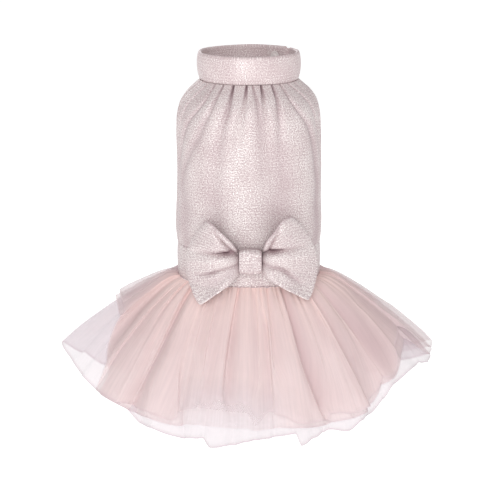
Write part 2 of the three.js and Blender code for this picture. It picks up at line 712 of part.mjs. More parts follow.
function skirtLayer({ lengths, order, rows }) {
    const outer = [];
    const inner = [];
    const columns = foldColumns();
    for (const row of rows) {
        const outerRow = [];
        const innerRow = [];
        columns.forEach((azimuth, index) => {
            const slope = tableValue(SKIRT_FOLDS, 'azimuth', 'slope', azimuth, true);
            const length = tableValue(SKIRT_FOLDS, 'azimuth', lengths, azimuth, true);
            const shared = slope * DEGREE;
            const frontness = Math.cos(azimuth * DEGREE) ** 2;
            const spread = LAYER_SPREAD_SIDE + LAYER_SPREAD_FRONT_EXTRA * frontness;
            const own = (slope + (order - 1) * spread) * DEGREE;
            const distance = length * row;
            const arch = ARCH_FRONT + ARCH_SIDE_EXTRA * Math.sin(azimuth * DEGREE) ** 2;
            const fade = Math.max(0, 1 - row / WAIST_GATHER_REACH) ** 2;
            const gather = WAIST_GATHER * fade * (index % 2 === 0 ? 1 : -1);
            const lift = arch * archShare(distance) + springRise(azimuth, distance) + gather;
            const startRadius = WAIST_SEAM_RADIUS * ringReach(azimuth, WAIST_POWER);
            const radius = startRadius - order * LAYER_PITCH * Math.sin(shared)
                + distance * Math.cos(own) + lift * Math.sin(own);
            const z = WAIST_SEAM_Z - order * LAYER_PITCH * Math.cos(shared)
                - distance * Math.sin(own) + lift * Math.cos(own);
            const [inward, downward] = [TULLE_WALL * Math.sin(own), TULLE_WALL * Math.cos(own)];
            outerRow.push(polarPoint(azimuth, radius, z));
            innerRow.push(polarPoint(azimuth, radius - inward, z - downward));
        });
        outer.push(outerRow);
        inner.push(innerRow);
    }
    return clothWall(outer, inner, true);
}

function namedMesh(name, geometry, finish) {
    const mesh = new THREE.Mesh(geometry, new THREE.MeshStandardMaterial(finish));
    mesh.name = name;
    return mesh;
}

const dress = new THREE.Group();

const bodice = new THREE.Group();
bodice.add(namedMesh('bodice_back', bodiceBack(), KNIT));
bodice.add(namedMesh('bodice_belly', bodiceBelly(), KNIT));
bodice.add(namedMesh('armhole_binding_left', legHoleBinding(-SIDE_SEAM_AZIMUTH), BINDING));
bodice.add(namedMesh('armhole_binding_right', legHoleBinding(SIDE_SEAM_AZIMUTH), BINDING));
dress.add(bodice);

const collar = new THREE.Group();
collar.add(namedMesh('collar', collarBand(), KNIT));
collar.add(namedMesh('collar_snap', collarSnap(), SNAP));
dress.add(collar);

const waist = new THREE.Group();
waist.add(namedMesh('waistband', waistband(), KNIT));
waist.add(namedMesh('bow_loop_left', bowLoop(BOW_LEFT), KNIT));
waist.add(namedMesh('bow_loop_right', bowLoop(BOW_RIGHT), KNIT));
waist.add(namedMesh('bow_knot', bowKnot(), KNIT));
dress.add(waist);

const skirt = new THREE.Group();
for (const layer of SKIRT_LAYERS) {
    const finish = { color: layer.colour, roughness: TULLE_ROUGHNESS, metalness: 0 };
    skirt.add(namedMesh(layer.name, skirtLayer(layer), finish));
}
dress.add(skirt);

export default dress;
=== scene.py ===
"""Finishes the dog dress: rib knit with metal yarn, tulle, snap, and a pale studio.

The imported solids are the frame. Each soft solid is replaced here by a finer cloth on the
same form. Sizes are in millimetres and angles in degrees until a mesh is made. +Z is up,
the dog's back faces -Y, and an azimuth runs from -Y towards +X.
"""

import logging
import math
from collections.abc import Callable
from dataclasses import dataclass
from enum import Enum, IntEnum
from functools import partial
from typing import NamedTuple

import bpy
import numpy as np
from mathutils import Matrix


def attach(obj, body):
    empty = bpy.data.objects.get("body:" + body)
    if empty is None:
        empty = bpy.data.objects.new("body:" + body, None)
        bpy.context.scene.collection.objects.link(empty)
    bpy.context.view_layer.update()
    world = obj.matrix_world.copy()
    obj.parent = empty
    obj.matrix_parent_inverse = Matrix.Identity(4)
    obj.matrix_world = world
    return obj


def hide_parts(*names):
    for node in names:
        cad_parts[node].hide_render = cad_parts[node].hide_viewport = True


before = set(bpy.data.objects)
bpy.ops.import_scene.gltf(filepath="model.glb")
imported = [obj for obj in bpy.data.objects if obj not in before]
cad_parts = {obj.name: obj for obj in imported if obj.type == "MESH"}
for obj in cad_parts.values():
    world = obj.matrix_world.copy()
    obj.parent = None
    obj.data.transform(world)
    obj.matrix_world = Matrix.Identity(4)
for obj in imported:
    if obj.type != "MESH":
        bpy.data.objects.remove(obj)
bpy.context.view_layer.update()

LOG = logging.getLogger("dog_dress")
MM = 0.001
BODY = "root"
TINY = 1e-9
FULL_TURN = 2 * math.pi
# What a mesh tells its finish: the cloth's own millimetres, and three shares from 0 to 1.
# The fold share is painted shade in creases, at edges and in recesses; on the net it is
# also the doubled net's deeper colour.
WEAVE = "weave"
GATHER = "gather"
FOLD_SHADE = "fold"
HEM = "hem"
# The colour mix node's inputs, and its output.
MIX_FACTOR, MIX_FROM, MIX_TO, MIX_COLOUR = 0, 6, 7, 2

Inputs = dict[str | int, object]
Line = tuple[tuple[float, float], ...]
Row = tuple[float, ...]


class Slot(Enum):
    """The record's material slots."""

    KNIT = "lurex_knit"
    BINDING = "binding_knit"
    SNAP = "snap_plastic"
    TULLE = "tulle"
    SHEER = "tulle_sheer"


class Hold(Enum):
    """How a sheet of cloth is held."""

    GATHERED = "gathered"
    STRETCHED = "stretched"
    FOLDED = "folded"


class Seed(IntEnum):
    """Seeds of the random draws, so that each run gives the same dress."""

    BELLY_DRAG = 5
    HIDDEN_CREASES = 7
    PANEL = 11
    WAIST_SEAM = 17
    COLLAR_FACE = 23
    COLLAR_EDGE = 29
    BROAD_FOLDS = 37
    BOW = 41
    SKIRT_TOP = 61
    SKIRT_MIDDLE = 67
    SKIRT_UNDER = 71


# Small helpers


def linear(colour: str) -> tuple[float, float, float, float]:
    """Turns an sRGB hex colour to linear light.

    Args:
        colour: Such as "#E5D8D6".

    Returns:
        Red, green, blue and alpha, from 0 to 1.
    """
    parts = [int(colour[i:i + 2], 16) / 255 for i in (1, 3, 5)]
    red, green, blue = (c / 12.92 if c <= 0.04045 else ((c + 0.055) / 1.055) ** 2.4 for c in parts)
    return red, green, blue, 1.0


def set_inputs(node: bpy.types.Node, inputs: Inputs) -> None:
    """Gives each named or numbered input of a node its value, or a link from a socket."""
    for key, value in inputs.items():
        if isinstance(value, bpy.types.NodeSocket):
            node.id_data.links.new(value, node.inputs[key])
        else:
            node.inputs[key].default_value = value


def add_node(
    tree: bpy.types.NodeTree, kind: str, inputs: Inputs | None = None, **settings: object
) -> bpy.types.Node:
    """Adds a node with its settings and links.

    Args:
        tree: The node tree.
        kind: The node's type name, without the ShaderNode it begins with.
        inputs: A value or an output socket for each named or numbered input.
        **settings: Values for the node's own properties.

    Returns:
        The new node.
    """
    node = tree.nodes.new(f"ShaderNode{kind}")
    for key, value in settings.items():
        setattr(node, key, value)
    set_inputs(node, inputs or {})
    return node


def new_material(name: str) -> tuple[bpy.types.Material, bpy.types.Node, Callable[..., bpy.types.Node]]:
    """Starts a material.

    Args:
        name: The real material's name.

    Returns:
        The material, its shader, and what adds a node to it.
    """
    material = bpy.data.materials.new(name)
    material.use_nodes = True
    tree = material.node_tree
    return material, tree.nodes["Principled BSDF"], partial(add_node, tree)


def placed(name: str, data: bpy.types.ID) -> bpy.types.Object:
    """Makes an object and puts it in the scene."""
    obj = bpy.data.objects.new(name, data)
    bpy.context.scene.collection.objects.link(obj)
    return obj


def polar(azimuth: np.ndarray, radius: np.ndarray, z: np.ndarray) -> np.ndarray:
    """Points at an azimuth, a distance from the axis and a height."""
    angle = np.radians(azimuth)
    return np.stack(np.broadcast_arrays(radius * np.sin(angle), -radius * np.cos(angle), z), axis=-1)


def ring_reach(azimuth: np.ndarray, power: float | np.ndarray) -> np.ndarray:
    """How far a rounded square ring of half width 1 reaches at an azimuth."""
    cosine = np.abs(np.cos(np.radians(azimuth)))
    sine = np.abs(np.sin(np.radians(azimuth)))
    return (cosine**power + sine**power) ** (-1 / power)


def smooth_curve(places: Row, values: Row, at: np.ndarray) -> np.ndarray:
    """Reads a smooth curve through a table.

    Args:
        places: The table's rising places.
        values: The value at each place.
        at: Where to read.

    Returns:
        The curve's values there.
    """
    x, y = np.array(places, float), np.array(values, float)
    slopes = np.gradient(y, x)
    i = np.clip(np.searchsorted(x, at, side="right") - 1, 0, len(x) - 2)
    width = x[i + 1] - x[i]
    t = np.clip((at - x[i]) / width, 0, 1)
    start = y[i] * (1 + 2 * t) * (1 - t) ** 2 + slopes[i] * width * t * (1 - t) ** 2
    end = y[i + 1] * t * t * (3 - 2 * t) + slopes[i + 1] * width * t * t * (t - 1)
    return start + end


def stepped_curve(places: np.ndarray, values: np.ndarray, at: np.ndarray) -> np.ndarray:
    """Reads a table with a smooth step from each row to the next, as the solids do."""
    i = np.clip(np.searchsorted(places, at, side="right") - 1, 0, len(places) - 2)
    t = np.clip((at - places[i]) / (places[i + 1] - places[i]), 0, 1)
    return values[i] + (values[i + 1] - values[i]) * t * t * (3 - 2 * t)


def soft_noise(x: np.ndarray, y: np.ndarray, seed: int, length: float) -> np.ndarray:
    """A soft uneven field from -1 to 1 or so, whose lumps are about `length` long."""
    random = np.random.default_rng(seed)
    total = np.zeros(np.broadcast_shapes(np.shape(x), np.shape(y)))
    waves = 7
    for _ in range(waves):
        turn = random.uniform(0, FULL_TURN)
        rate = random.uniform(0.6, 1.5) * FULL_TURN / length
        total += np.sin(rate * (x * math.cos(turn) + y * math.sin(turn)) + random.uniform(0, FULL_TURN))
    return total / math.sqrt(waves)


class Unevenness(NamedTuple):
    """A soft unevenness of cloth, with its height and the length of its lumps in millimetres.

    The stretch draws the lumps out along y: at 0.1 they are ten times as long there.
    """

    height: float
    length: float
    stretch: float
    seed: int

    def at(self, x: np.ndarray, y: np.ndarray) -> np.ndarray:
        """How far it lifts the cloth at a place."""
        return self.height * soft_noise(x, y * self.stretch, self.seed, self.length)


def soft_bump(distance: np.ndarray, half_width: float | np.ndarray, power: float = 2) -> np.ndarray:
    """A smooth bump from 1 at no distance to near 0 beyond the half width."""
    return np.exp(-((distance / half_width) ** power))


def surface_normals(grid: np.ndarray, is_ring: bool) -> np.ndarray:
    """Unit normals of a grid of points, from row and column directions.

    Args:
        grid: Points, [row][column].
        is_ring: Whether the last column joins the first.

    Returns:
        A normal for each point, all on the same side.
    """
    down = np.gradient(grid, axis=0)
    if is_ring:
        along = (np.roll(grid, -1, axis=1) - np.roll(grid, 1, axis=1)) / 2
    else:
        along = np.gradient(grid, axis=1)
    normal = np.cross(down, along)
    return normal / np.maximum(np.linalg.norm(normal, axis=-1, keepdims=True), TINY)


def line_lengths(grid: np.ndarray, axis: int, is_ring: bool = False) -> np.ndarray:
    """The length of each line of a grid, along an axis."""
    steps = np.linalg.norm(np.diff(grid, axis=axis), axis=-1)
    total = steps.sum(axis=axis)
    if is_ring:
        total = total + np.linalg.norm(grid[:, 0] - grid[:, -1], axis=-1)
    return total


# Meshes


def turn_out(mesh: bpy.types.Mesh) -> None:
    """Turns a closed mesh's faces outwards if they all face inwards."""
    mesh.calc_loop_triangles()
    points = np.array([v.co for v in mesh.vertices])
    corners = np.array([t.vertices for t in mesh.loop_triangles])
    a, b, c = (points[corners[:, i]] for i in range(3))
    if (a * np.cross(b, c)).sum() < 0:
        mesh.flip_normals()


@dataclass
class Build:
    """Points and faces of one mesh while it is put together."""

    points: np.ndarray
    faces: list[tuple[int, ...]]
    corners: list[tuple[float, float]]
    is_closed: bool = True

    def mesh(self, name: str, material: bpy.types.Material) -> bpy.types.Mesh:
        """Makes the mesh, smooth, with the cloth's own millimetres for its finish.

        Args:
            name: The mesh's name.
            material: Its finish.

        Returns:
            The new mesh. A closed one faces outwards.
        """
        mesh = bpy.data.meshes.new(name)
        mesh.from_pydata((self.points * MM).tolist(), [], self.faces)
        layer = mesh.uv_layers.new(name=WEAVE)
        layer.data.foreach_set("uv", np.array(self.corners, np.float32).ravel())
        mesh.polygons.foreach_set("use_smooth", [True] * len(mesh.polygons))
        mesh.materials.append(material)
        mesh.update()
        if self.is_closed:
            turn_out(mesh)
        return mesh

    def piece(self, name: str, material: bpy.types.Material, slot: Slot, node: str) -> bpy.types.Object:
        """Makes the Blender object and lets it stand for its CAD node.

        Args:
            name: The piece's name.
            material: Its finish.
            slot: The record's slot for that finish. It is not used.
            node: The CAD node it stands for.

        Returns:
            The new object, riding on the body.
        """
        obj = placed(name, self.mesh(name, material))
        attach(obj, BODY)
        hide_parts(node)
        LOG.info("%s: %d points, %d faces", name, len(obj.data.vertices), len(obj.data.polygons))
        return obj


def sheet_build(grid: np.ndarray, weave: np.ndarray, is_ring: bool) -> Build:
    """A single surface from a grid.

    Args:
        grid: Points, [row][column].
        weave: Millimetres along and across the cloth, with one more column if it is a ring.
        is_ring: Whether the last column joins the first.

    Returns:
        The mesh being built.
    """
    rows, columns = grid.shape[:2]
    spans = columns if is_ring else columns - 1
    faces, corners = [], []
    for r in range(rows - 1):
        for c in range(spans):
            around = [(r, c), (r + 1, c), (r + 1, c + 1), (r, c + 1)]
            faces.append(tuple(i * columns + j % columns for i, j in around))
            corners.extend(tuple(weave[i, j]) for i, j in around)
    return Build(grid.reshape(-1, 3), faces, corners, False)


def edge_arc(outer: np.ndarray, inner: np.ndarray, beyond: np.ndarray, steps: int) -> np.ndarray:
    """A rounded cloth edge, from the outer line over to the inner line.

    Args:
        outer: Points of the outer line.
        inner: Points of the inner line.
        beyond: Points one row further in, which give the direction outwards.
        steps: How many lines of points the edge has between the two.

    Returns:
        The lines, [step][point].
    """
    middle, half = (outer + inner) / 2, (outer - inner) / 2
    away = middle - beyond
    sideways = (away * half).sum(-1, keepdims=True)
    away -= half * sideways / np.maximum((half * half).sum(-1, keepdims=True), TINY)
    away /= np.maximum(np.linalg.norm(away, axis=-1, keepdims=True), TINY)
    away *= np.linalg.norm(half, axis=-1, keepdims=True)
    turns = np.linspace(0, math.pi, steps + 2)[1:-1]
    return np.stack([middle + half * math.cos(t) + away * math.sin(t) for t in turns])


def shell_build(
    outer: np.ndarray, inner: np.ndarray, weave: np.ndarray, is_ring: bool, steps: int = 3
) -> Build:
    """A cloth wall with rounded edges between an outer and an inner grid.

    Args:
        outer: Points of the outer face, [row][column].
        inner: Points of the inner face.
        weave: Millimetres along and across the cloth, with one more column if it is a ring.
        is_ring: Whether the last column joins the first.
        steps: Points across each rounded edge.

    Returns:
        The closed mesh being built.
    """
    rows, columns = outer.shape[:2]
    middle = (outer + inner) / 2
    foot = edge_arc(outer[-1], inner[-1], middle[-2], steps)
    head = edge_arc(outer[0], inner[0], middle[1], steps)[::-1]
    lines = np.concatenate([outer, foot, inner[::-1], head])
    foot_weave, head_weave = (np.repeat(weave[i:][:1], steps, 0) for i in (-1, 0))
    spread = np.concatenate([weave, foot_weave, weave[::-1], head_weave])
    count = len(lines)
    spans = columns if is_ring else columns - 1
    faces, corners = [], []
    for k in range(count):
        after = (k + 1) % count
        for c in range(spans):
            around = [(k, c), (after, c), (after, c + 1), (k, c + 1)]
            faces.append(tuple(i * columns + j % columns for i, j in around))
            corners.extend(tuple(spread[i, j]) for i, j in around)
    points = [lines.reshape(-1, 3)]
    if not is_ring:
        base = count * columns
        for c, inside, flip in ((0, 1, False), (columns - 1, columns - 2, True)):
            arcs = edge_arc(outer[:, c], inner[:, c], middle[:, inside], steps)
            points.append(arcs.reshape(-1, 3))
            ladders = []
            for r in range(rows):
                rungs = [base + s * rows + r for s in range(steps)]
                ladders.append([r * columns + c, *rungs, (2 * rows + steps - 1 - r) * columns + c])
            foot_line = [(rows - 1 + s) * columns + c for s in range(steps + 2)]
            head_line = [(2 * rows + steps - 1 + s) % count * columns + c for s in range(steps + 2)][::-1]
            places = [head_line, *ladders, foot_line]
            for r, (one, two) in enumerate(zip(places, places[1:])):
                at = tuple(weave[min(r, rows - 1), c])
                for a, b, d, e in zip(one, one[1:], two[1:], two):
                    face = list(dict.fromkeys((a, b, d, e) if not flip else (e, d, b, a)))
                    if len(face) > 2:
                        faces.append(tuple(face))
                        corners.extend([at] * len(face))
            base += steps * rows
    return Build(np.concatenate(points), faces, corners)


def tube_build(sections: np.ndarray, weave: np.ndarray, is_ring: bool) -> Build:
    """A closed solid through section loops, with flat ends unless it is a ring.

    Args:
        sections: Points, [section][point round it].
        weave: Millimetres along and round, with one more section if it is a ring, and always
            one more point.
        is_ring: Whether the last section joins the first.

    Returns:
        The closed mesh being built.
    """
    count, around = sections.shape[:2]
    spans = count if is_ring else count - 1
    faces, corners = [], []
    for s in range(spans):
        for p in range(around):
            quad = [(s, p), (s, p + 1), (s + 1, p + 1), (s + 1, p)]
            faces.append(tuple(i % count * around + j % around for i, j in quad))
            corners.extend(tuple(weave[i, j]) for i, j in quad)
    if not is_ring:
        for s, order in ((0, -1), (count - 1, 1)):
            faces.append(tuple((s * around + np.arange(around))[::order].tolist()))
            corners.extend(tuple(weave[s, j]) for j in np.arange(around)[::order])
    return Build(sections.reshape(-1, 3), faces, corners)


def shell_values(values: np.ndarray, is_ring: bool, steps: int = 3) -> np.ndarray:
    """Spreads a grid's values over the points of its cloth wall, in shell_build's order.

    Args:
        values: A value for each grid point.
        is_ring: Whether the last column joins the first.
        steps: Points across each rounded edge.

    Returns:
        A value for each point of the mesh.
    """
    lines = [values, np.repeat(values[-1:], steps, 0), values[::-1], np.repeat(values[:1], steps, 0)]
    parts = [np.concatenate(lines).ravel()]
    if not is_ring:
        parts += [np.tile(values[:, column], steps) for column in (0, -1)]
    return np.concatenate(parts)


def paint(obj: bpy.types.Object, name: str, values: np.ndarray) -> None:
    """Gives each point of a mesh a value from 0 to 1, which its finish reads."""
    attribute = obj.data.attributes.new(name, "FLOAT", "POINT")
    attribute.data.foreach_set("value", np.clip(values, 0, 1).ravel().astype(np.float32))


# Finishes


@dataclass(frozen=True)
class RibKnit:
    """Rib knit of polyester and flat metal yarn: fine level rows, with white and dusky specks."""

    name: str = "metal_yarn_rib_knit"
    yarn: str = "#D5C8C7"
    furrow: str = "#BDABAD"
    # The white specks are partly the metal yarn's own paler colour and partly a painted highlight.
    glint: str = "#FAF5F3"
    dusk: str = "#AC9197"
    # Painted shade: mixed in where the mesh's fold share marks a crease, an edge or a recess.
    hollow: str = "#A98F95"
    # The rows wander by up to 3 mm, over some 30 mm of cloth.
    row_pitch: float = 2.33
    row_strength: float = 0.5
    row_wander: float = 3.0
    wander_rate: float = 0.035
    # A real speck is one flat yarn, 0.3 mm wide. It is drawn 0.75 mm wide, about a pixel.
    speck_size: float = 0.75
    speck_rate: float = 0.85
    # Specks lie thicker in some patches of about 20 mm than in others.
    patch_rate: float = 0.05
    patch_share: float = 0.16
    bright_from: float = 0.61
    bright_full: float = 0.76
    dull_from: float = 0.56
    dull_full: float = 0.4
    dull_share: float = 0.9
    # The yarn catches the light a little: a glint is smoother and more metallic.
    metal: float = 0.05
    glint_metal: float = 0.2
    roughness: float = 0.5
    glint_roughness: float = 0.3
    gloss: float = 0.25
    relief: float = 0.3
    relief_depth: float = 0.4
    row_relief: float = -0.8

    def material(self) -> bpy.types.Material:
        """Builds the material. Rows and specks follow the cloth, in real millimetres.

        Returns:
            The finished material.
        """
        material, shader, add = new_material(self.name)
        place = add("UVMap", uv_map=WEAVE).outputs["UV"]
        noise = {"Vector": place, "Scale": self.wander_rate, "Detail": 2.0}
        wander = add("TexNoise", noise, noise_dimensions="2D").outputs["Fac"]
        across = add("SeparateXYZ", {0: place}).outputs["Y"]
        shifted = add("Math", {0: wander, 1: self.row_wander, 2: across}, operation="MULTIPLY_ADD")
        turned = add("Math", {0: shifted.outputs[0], 1: FULL_TURN / self.row_pitch}, operation="MULTIPLY")
        wave = add("Math", {0: turned.outputs[0]}, operation="SINE").outputs[0]
        rows = {"Value": wave, "From Min": -0.3, "From Max": 1.0, "To Max": self.row_strength}
        furrow = add("MapRange", rows).outputs[0]
        rates = (self.speck_rate / self.speck_size, 1 / self.speck_size, 1.0)
        stretch = add("VectorMath", {0: place, 1: rates}, operation="MULTIPLY").outputs[0]
        noise = {"Vector": stretch, "Scale": 1.0, "Detail": 2.0, "Roughness": 0.6}
        specks = add("TexNoise", noise, noise_dimensions="2D").outputs["Fac"]
        noise = {"Vector": place, "Scale": self.patch_rate, "Detail": 3.0}
        patch = add("TexNoise", noise, noise_dimensions="2D").outputs["Fac"]
        chance = add("Math", {0: patch, 1: self.patch_share, 2: specks}, operation="MULTIPLY_ADD").outputs[0]
        # Where the white specks lie: partly paler yarn, partly painted highlight.
        limits = {"From Min": self.bright_from, "From Max": self.bright_full, "To Max": 1.0}
        bright = add("MapRange", {"Value": chance, **limits}).outputs[0]
        limits = {"From Min": self.dull_from, "From Max": self.dull_full, "To Max": self.dull_share}
        dull = add("MapRange", {"Value": chance, **limits}).outputs[0]
        # The fold share is painted shade, which mixes the hollow colour into creases, edges and recesses.
        crease = add("Attribute", attribute_name=FOLD_SHADE).outputs["Fac"]
        colour = linear(self.yarn)
        coats = (furrow, self.furrow), (dull, self.dusk), (bright, self.glint), (crease, self.hollow)
        for share, over in coats:
            mixed = {MIX_FACTOR: share, MIX_FROM: colour, MIX_TO: linear(over)}
            colour = add("Mix", mixed, data_type="RGBA").outputs[MIX_COLOUR]
        height = add("Math", {0: furrow, 1: self.row_relief, 2: specks}, operation="MULTIPLY_ADD").outputs[0]
        relief = add("Bump", {"Height": height, "Strength": self.relief, "Distance": self.relief_depth * MM})
        rough = add("MapRange", {"Value": bright, "To Min": self.roughness, "To Max": self.glint_roughness})
        shine = add("MapRange", {"Value": bright, "To Min": self.metal, "To Max": self.glint_metal})
        set_inputs(shader, {
            "Base Color": colour,
            "Normal": relief.outputs[0],
            "Roughness": rough.outputs[0],
            "Metallic": shine.outputs[0],
            "Specular IOR Level": self.gloss,
        })
        return material


@dataclass(frozen=True)
class Tulle:
    """Warp-knitted polyester net: soft, matt and see-through, deeper in colour where it gathers.

    Where it is folded over itself it hides more and is darker, partly as doubled net and partly
    as painted shade.
    """

    name: str = "tulle_net"
    open_colour: str = "#D3C4C9"
    deep_colour: str = "#FBE1DC"
    # Folded net: its doubled colour, darkened further as painted shade.
    fold_shade_colour: str = "#D5BBBD"
    hem_colour: str = "#D6C2C5"
    open_cover: float = 0.24
    deep_cover: float = 0.92
    fold_cover: float = 0.25
    hem_cover: float = 0.16
    # Real holes are 1 mm across, under two pixels, so the net is drawn as 2 mm streaks.
    streak: float = 2.0
    streak_length_rate: float = 0.03
    streak_strength: float = 0.03
    roughness: float = 0.9
    gloss: float = 0.1

    def material(self) -> bpy.types.Material:
        """Builds the material. The mesh says how gathered the net is, and where its hem is.

        Returns:
            The finished material.
        """
        material, shader, add = new_material(self.name)
        gather, fold, hem = (add("Attribute", attribute_name=n).outputs["Fac"] for n in (GATHER, FOLD_SHADE, HEM))
        place = add("UVMap", uv_map=WEAVE).outputs["UV"]
        rates = (1 / self.streak, self.streak_length_rate, 1.0)
        stretch = add("VectorMath", {0: place, 1: rates}, operation="MULTIPLY").outputs[0]
        noise = {"Vector": stretch, "Scale": 1.0, "Detail": 2.0}
        streaks = add("TexNoise", noise, noise_dimensions="2D").outputs["Fac"]
        limits = {"From Min": 0.3, "From Max": 0.7, "To Min": -self.streak_strength}
        uneven = add("MapRange", {"Value": streaks, "To Max": self.streak_strength, **limits}).outputs[0]
        gathered = add("Math", {0: gather, 1: uneven}, operation="ADD", use_clamp=True).outputs[0]
        cover = add("MapRange", {"Value": gathered, "To Min": self.open_cover, "To Max": self.deep_cover})
        doubled = add("Math", {0: fold, 1: self.fold_cover, 2: cover.outputs[0]}, operation="MULTIPLY_ADD")
        covered = {0: hem, 1: self.hem_cover, 2: doubled.outputs[0]}
        hemmed = add("Math", covered, operation="MULTIPLY_ADD", use_clamp=True).outputs[0]
        # The fold share mixes in the fold colour: partly doubled net, partly painted shade.
        colour = linear(self.open_colour)
        for share, over in ((gathered, self.deep_colour), (fold, self.fold_shade_colour), (hem, self.hem_colour)):
            mixed = {MIX_FACTOR: share, MIX_FROM: colour, MIX_TO: linear(over)}
            colour = add("Mix", mixed, data_type="RGBA").outputs[MIX_COLOUR]
        set_inputs(shader, {
            "Alpha": hemmed,
            "Base Color": colour,
            "Roughness": self.roughness,
            "Specular IOR Level": self.gloss,
        })
        return material


@dataclass(frozen=True)
class MouldedAcetal:
    """Moulded acetal snap: milky, smooth, with a faint soft mottle of about 1 mm."""

    name: str = "moulded_acetal"
    colour: str = "#E9E2E0"
    shade: str = "#D9CFCD"
    mottle_rate: float = 900.0
    roughness: float = 0.32

    def material(self) -> bpy.types.Material:
        """Builds the material.

        Returns:
            The finished material.
        """
        material, shader, add = new_material(self.name)
        place = add("TexCoord").outputs["Object"]
        mottle = add("TexNoise", {"Vector": place, "Scale": self.mottle_rate, "Detail": 2.0})
        mixed = {MIX_FACTOR: mottle.outputs["Fac"], MIX_FROM: linear(self.colour), MIX_TO: linear(self.shade)}
        tint = add("Mix", mixed, data_type="RGBA").outputs[MIX_COLOUR]
        set_inputs(shader, {"Base Color": tint, "Roughness": self.roughness})
        return material


# The dress


class NeckCrease(NamedTuple):
    """A crease below the gathered neck.

    Its place is a neck azimuth at each of the bodice's five crease depths. It has a depth in
    millimetres, and how much painted shade darkens the knit in it, from the notch at the seam
    down.
    """

    neck: float
    high: float
    upper: float
    middle: float
    low: float
    depth: float
    notch: float
    high_shade: float
    shade: float
    low_shade: float

    @property
    def azimuths(self) -> Row:
        """Its place at each crease depth."""
        return self[:5]

    @property
    def shades(self) -> Row:
        """How much painted shade darkens the knit in it, from the notch down."""
        return self[6:]


NECK_CREASES = tuple(
    NeckCrease(*row)
    for row in (
        (-112, -112, -112, -112, -112, 0.5, 0.2, 0.1, 0.1, 0.05),
        (-99, -99, -100, -99, -98, 0.6, 0.2, 0.15, 0.1, 0.05),
        (-86, -87, -86, -85, -85, 0.7, 0.3, 0.2, 0.1, 0.05),
        (-73, -74, -73, -73, -72, 0.7, 0.3, 0.2, 0.1, 0.1),
        (-62, -64, -64, -62, -62, 0.8, 0.3, 0.15, 0.15, 0.1),
        (-51, -53, -54, -51, -50, 0.8, 0.3, 0.2, 0.1, 0.05),
        (-41, -36, -42, -39, -37, 0.8, 0.3, 0.25, 0.25, 0.15),
        (-29.5, -26, -26, -30, -26, 1.1, 0.4, 0.35, 0.3, 0.3),
        (-17.5, -14, -14, -12, -11, 1.4, 0.9, 0.5, 0.25, 0.2),
        (-2.4, -3, -5, -3, -3, 1.3, 0.9, 0.1, 0.0, 0.0),
        (4.3, 6, 6, 5, 4, 0.8, 0.25, 0.35, 0.25, 0.0),
        (14, 11, 9, 8, 8, 1.4, 0.9, 0.1, 0.0, 0.0),
        (27, 22, 16, 12, 10, 1.4, 0.8, 0.35, 0.3, 0.35),
        (38, 34, 37, 33, 30, 0.9, 0.4, 0.35, 0.35, 0.5),
        (50, 53, 52, 50, 48, 0.8, 0.35, 0.3, 0.1, 0.05),
        (63, 64, 64, 63, 63, 0.7, 0.3, 0.2, 0.15, 0.1),
        (76, 76, 77, 76, 75, 0.7, 0.3, 0.2, 0.1, 0.1),
        (89, 89, 88, 88, 88, 0.7, 0.3, 0.2, 0.1, 0.05),
        (101, 102, 101, 101, 100, 0.6, 0.2, 0.1, 0.1, 0.05),
        (113, 113, 113, 113, 113, 0.5, 0.2, 0.1, 0.1, 0.05),
    )
)


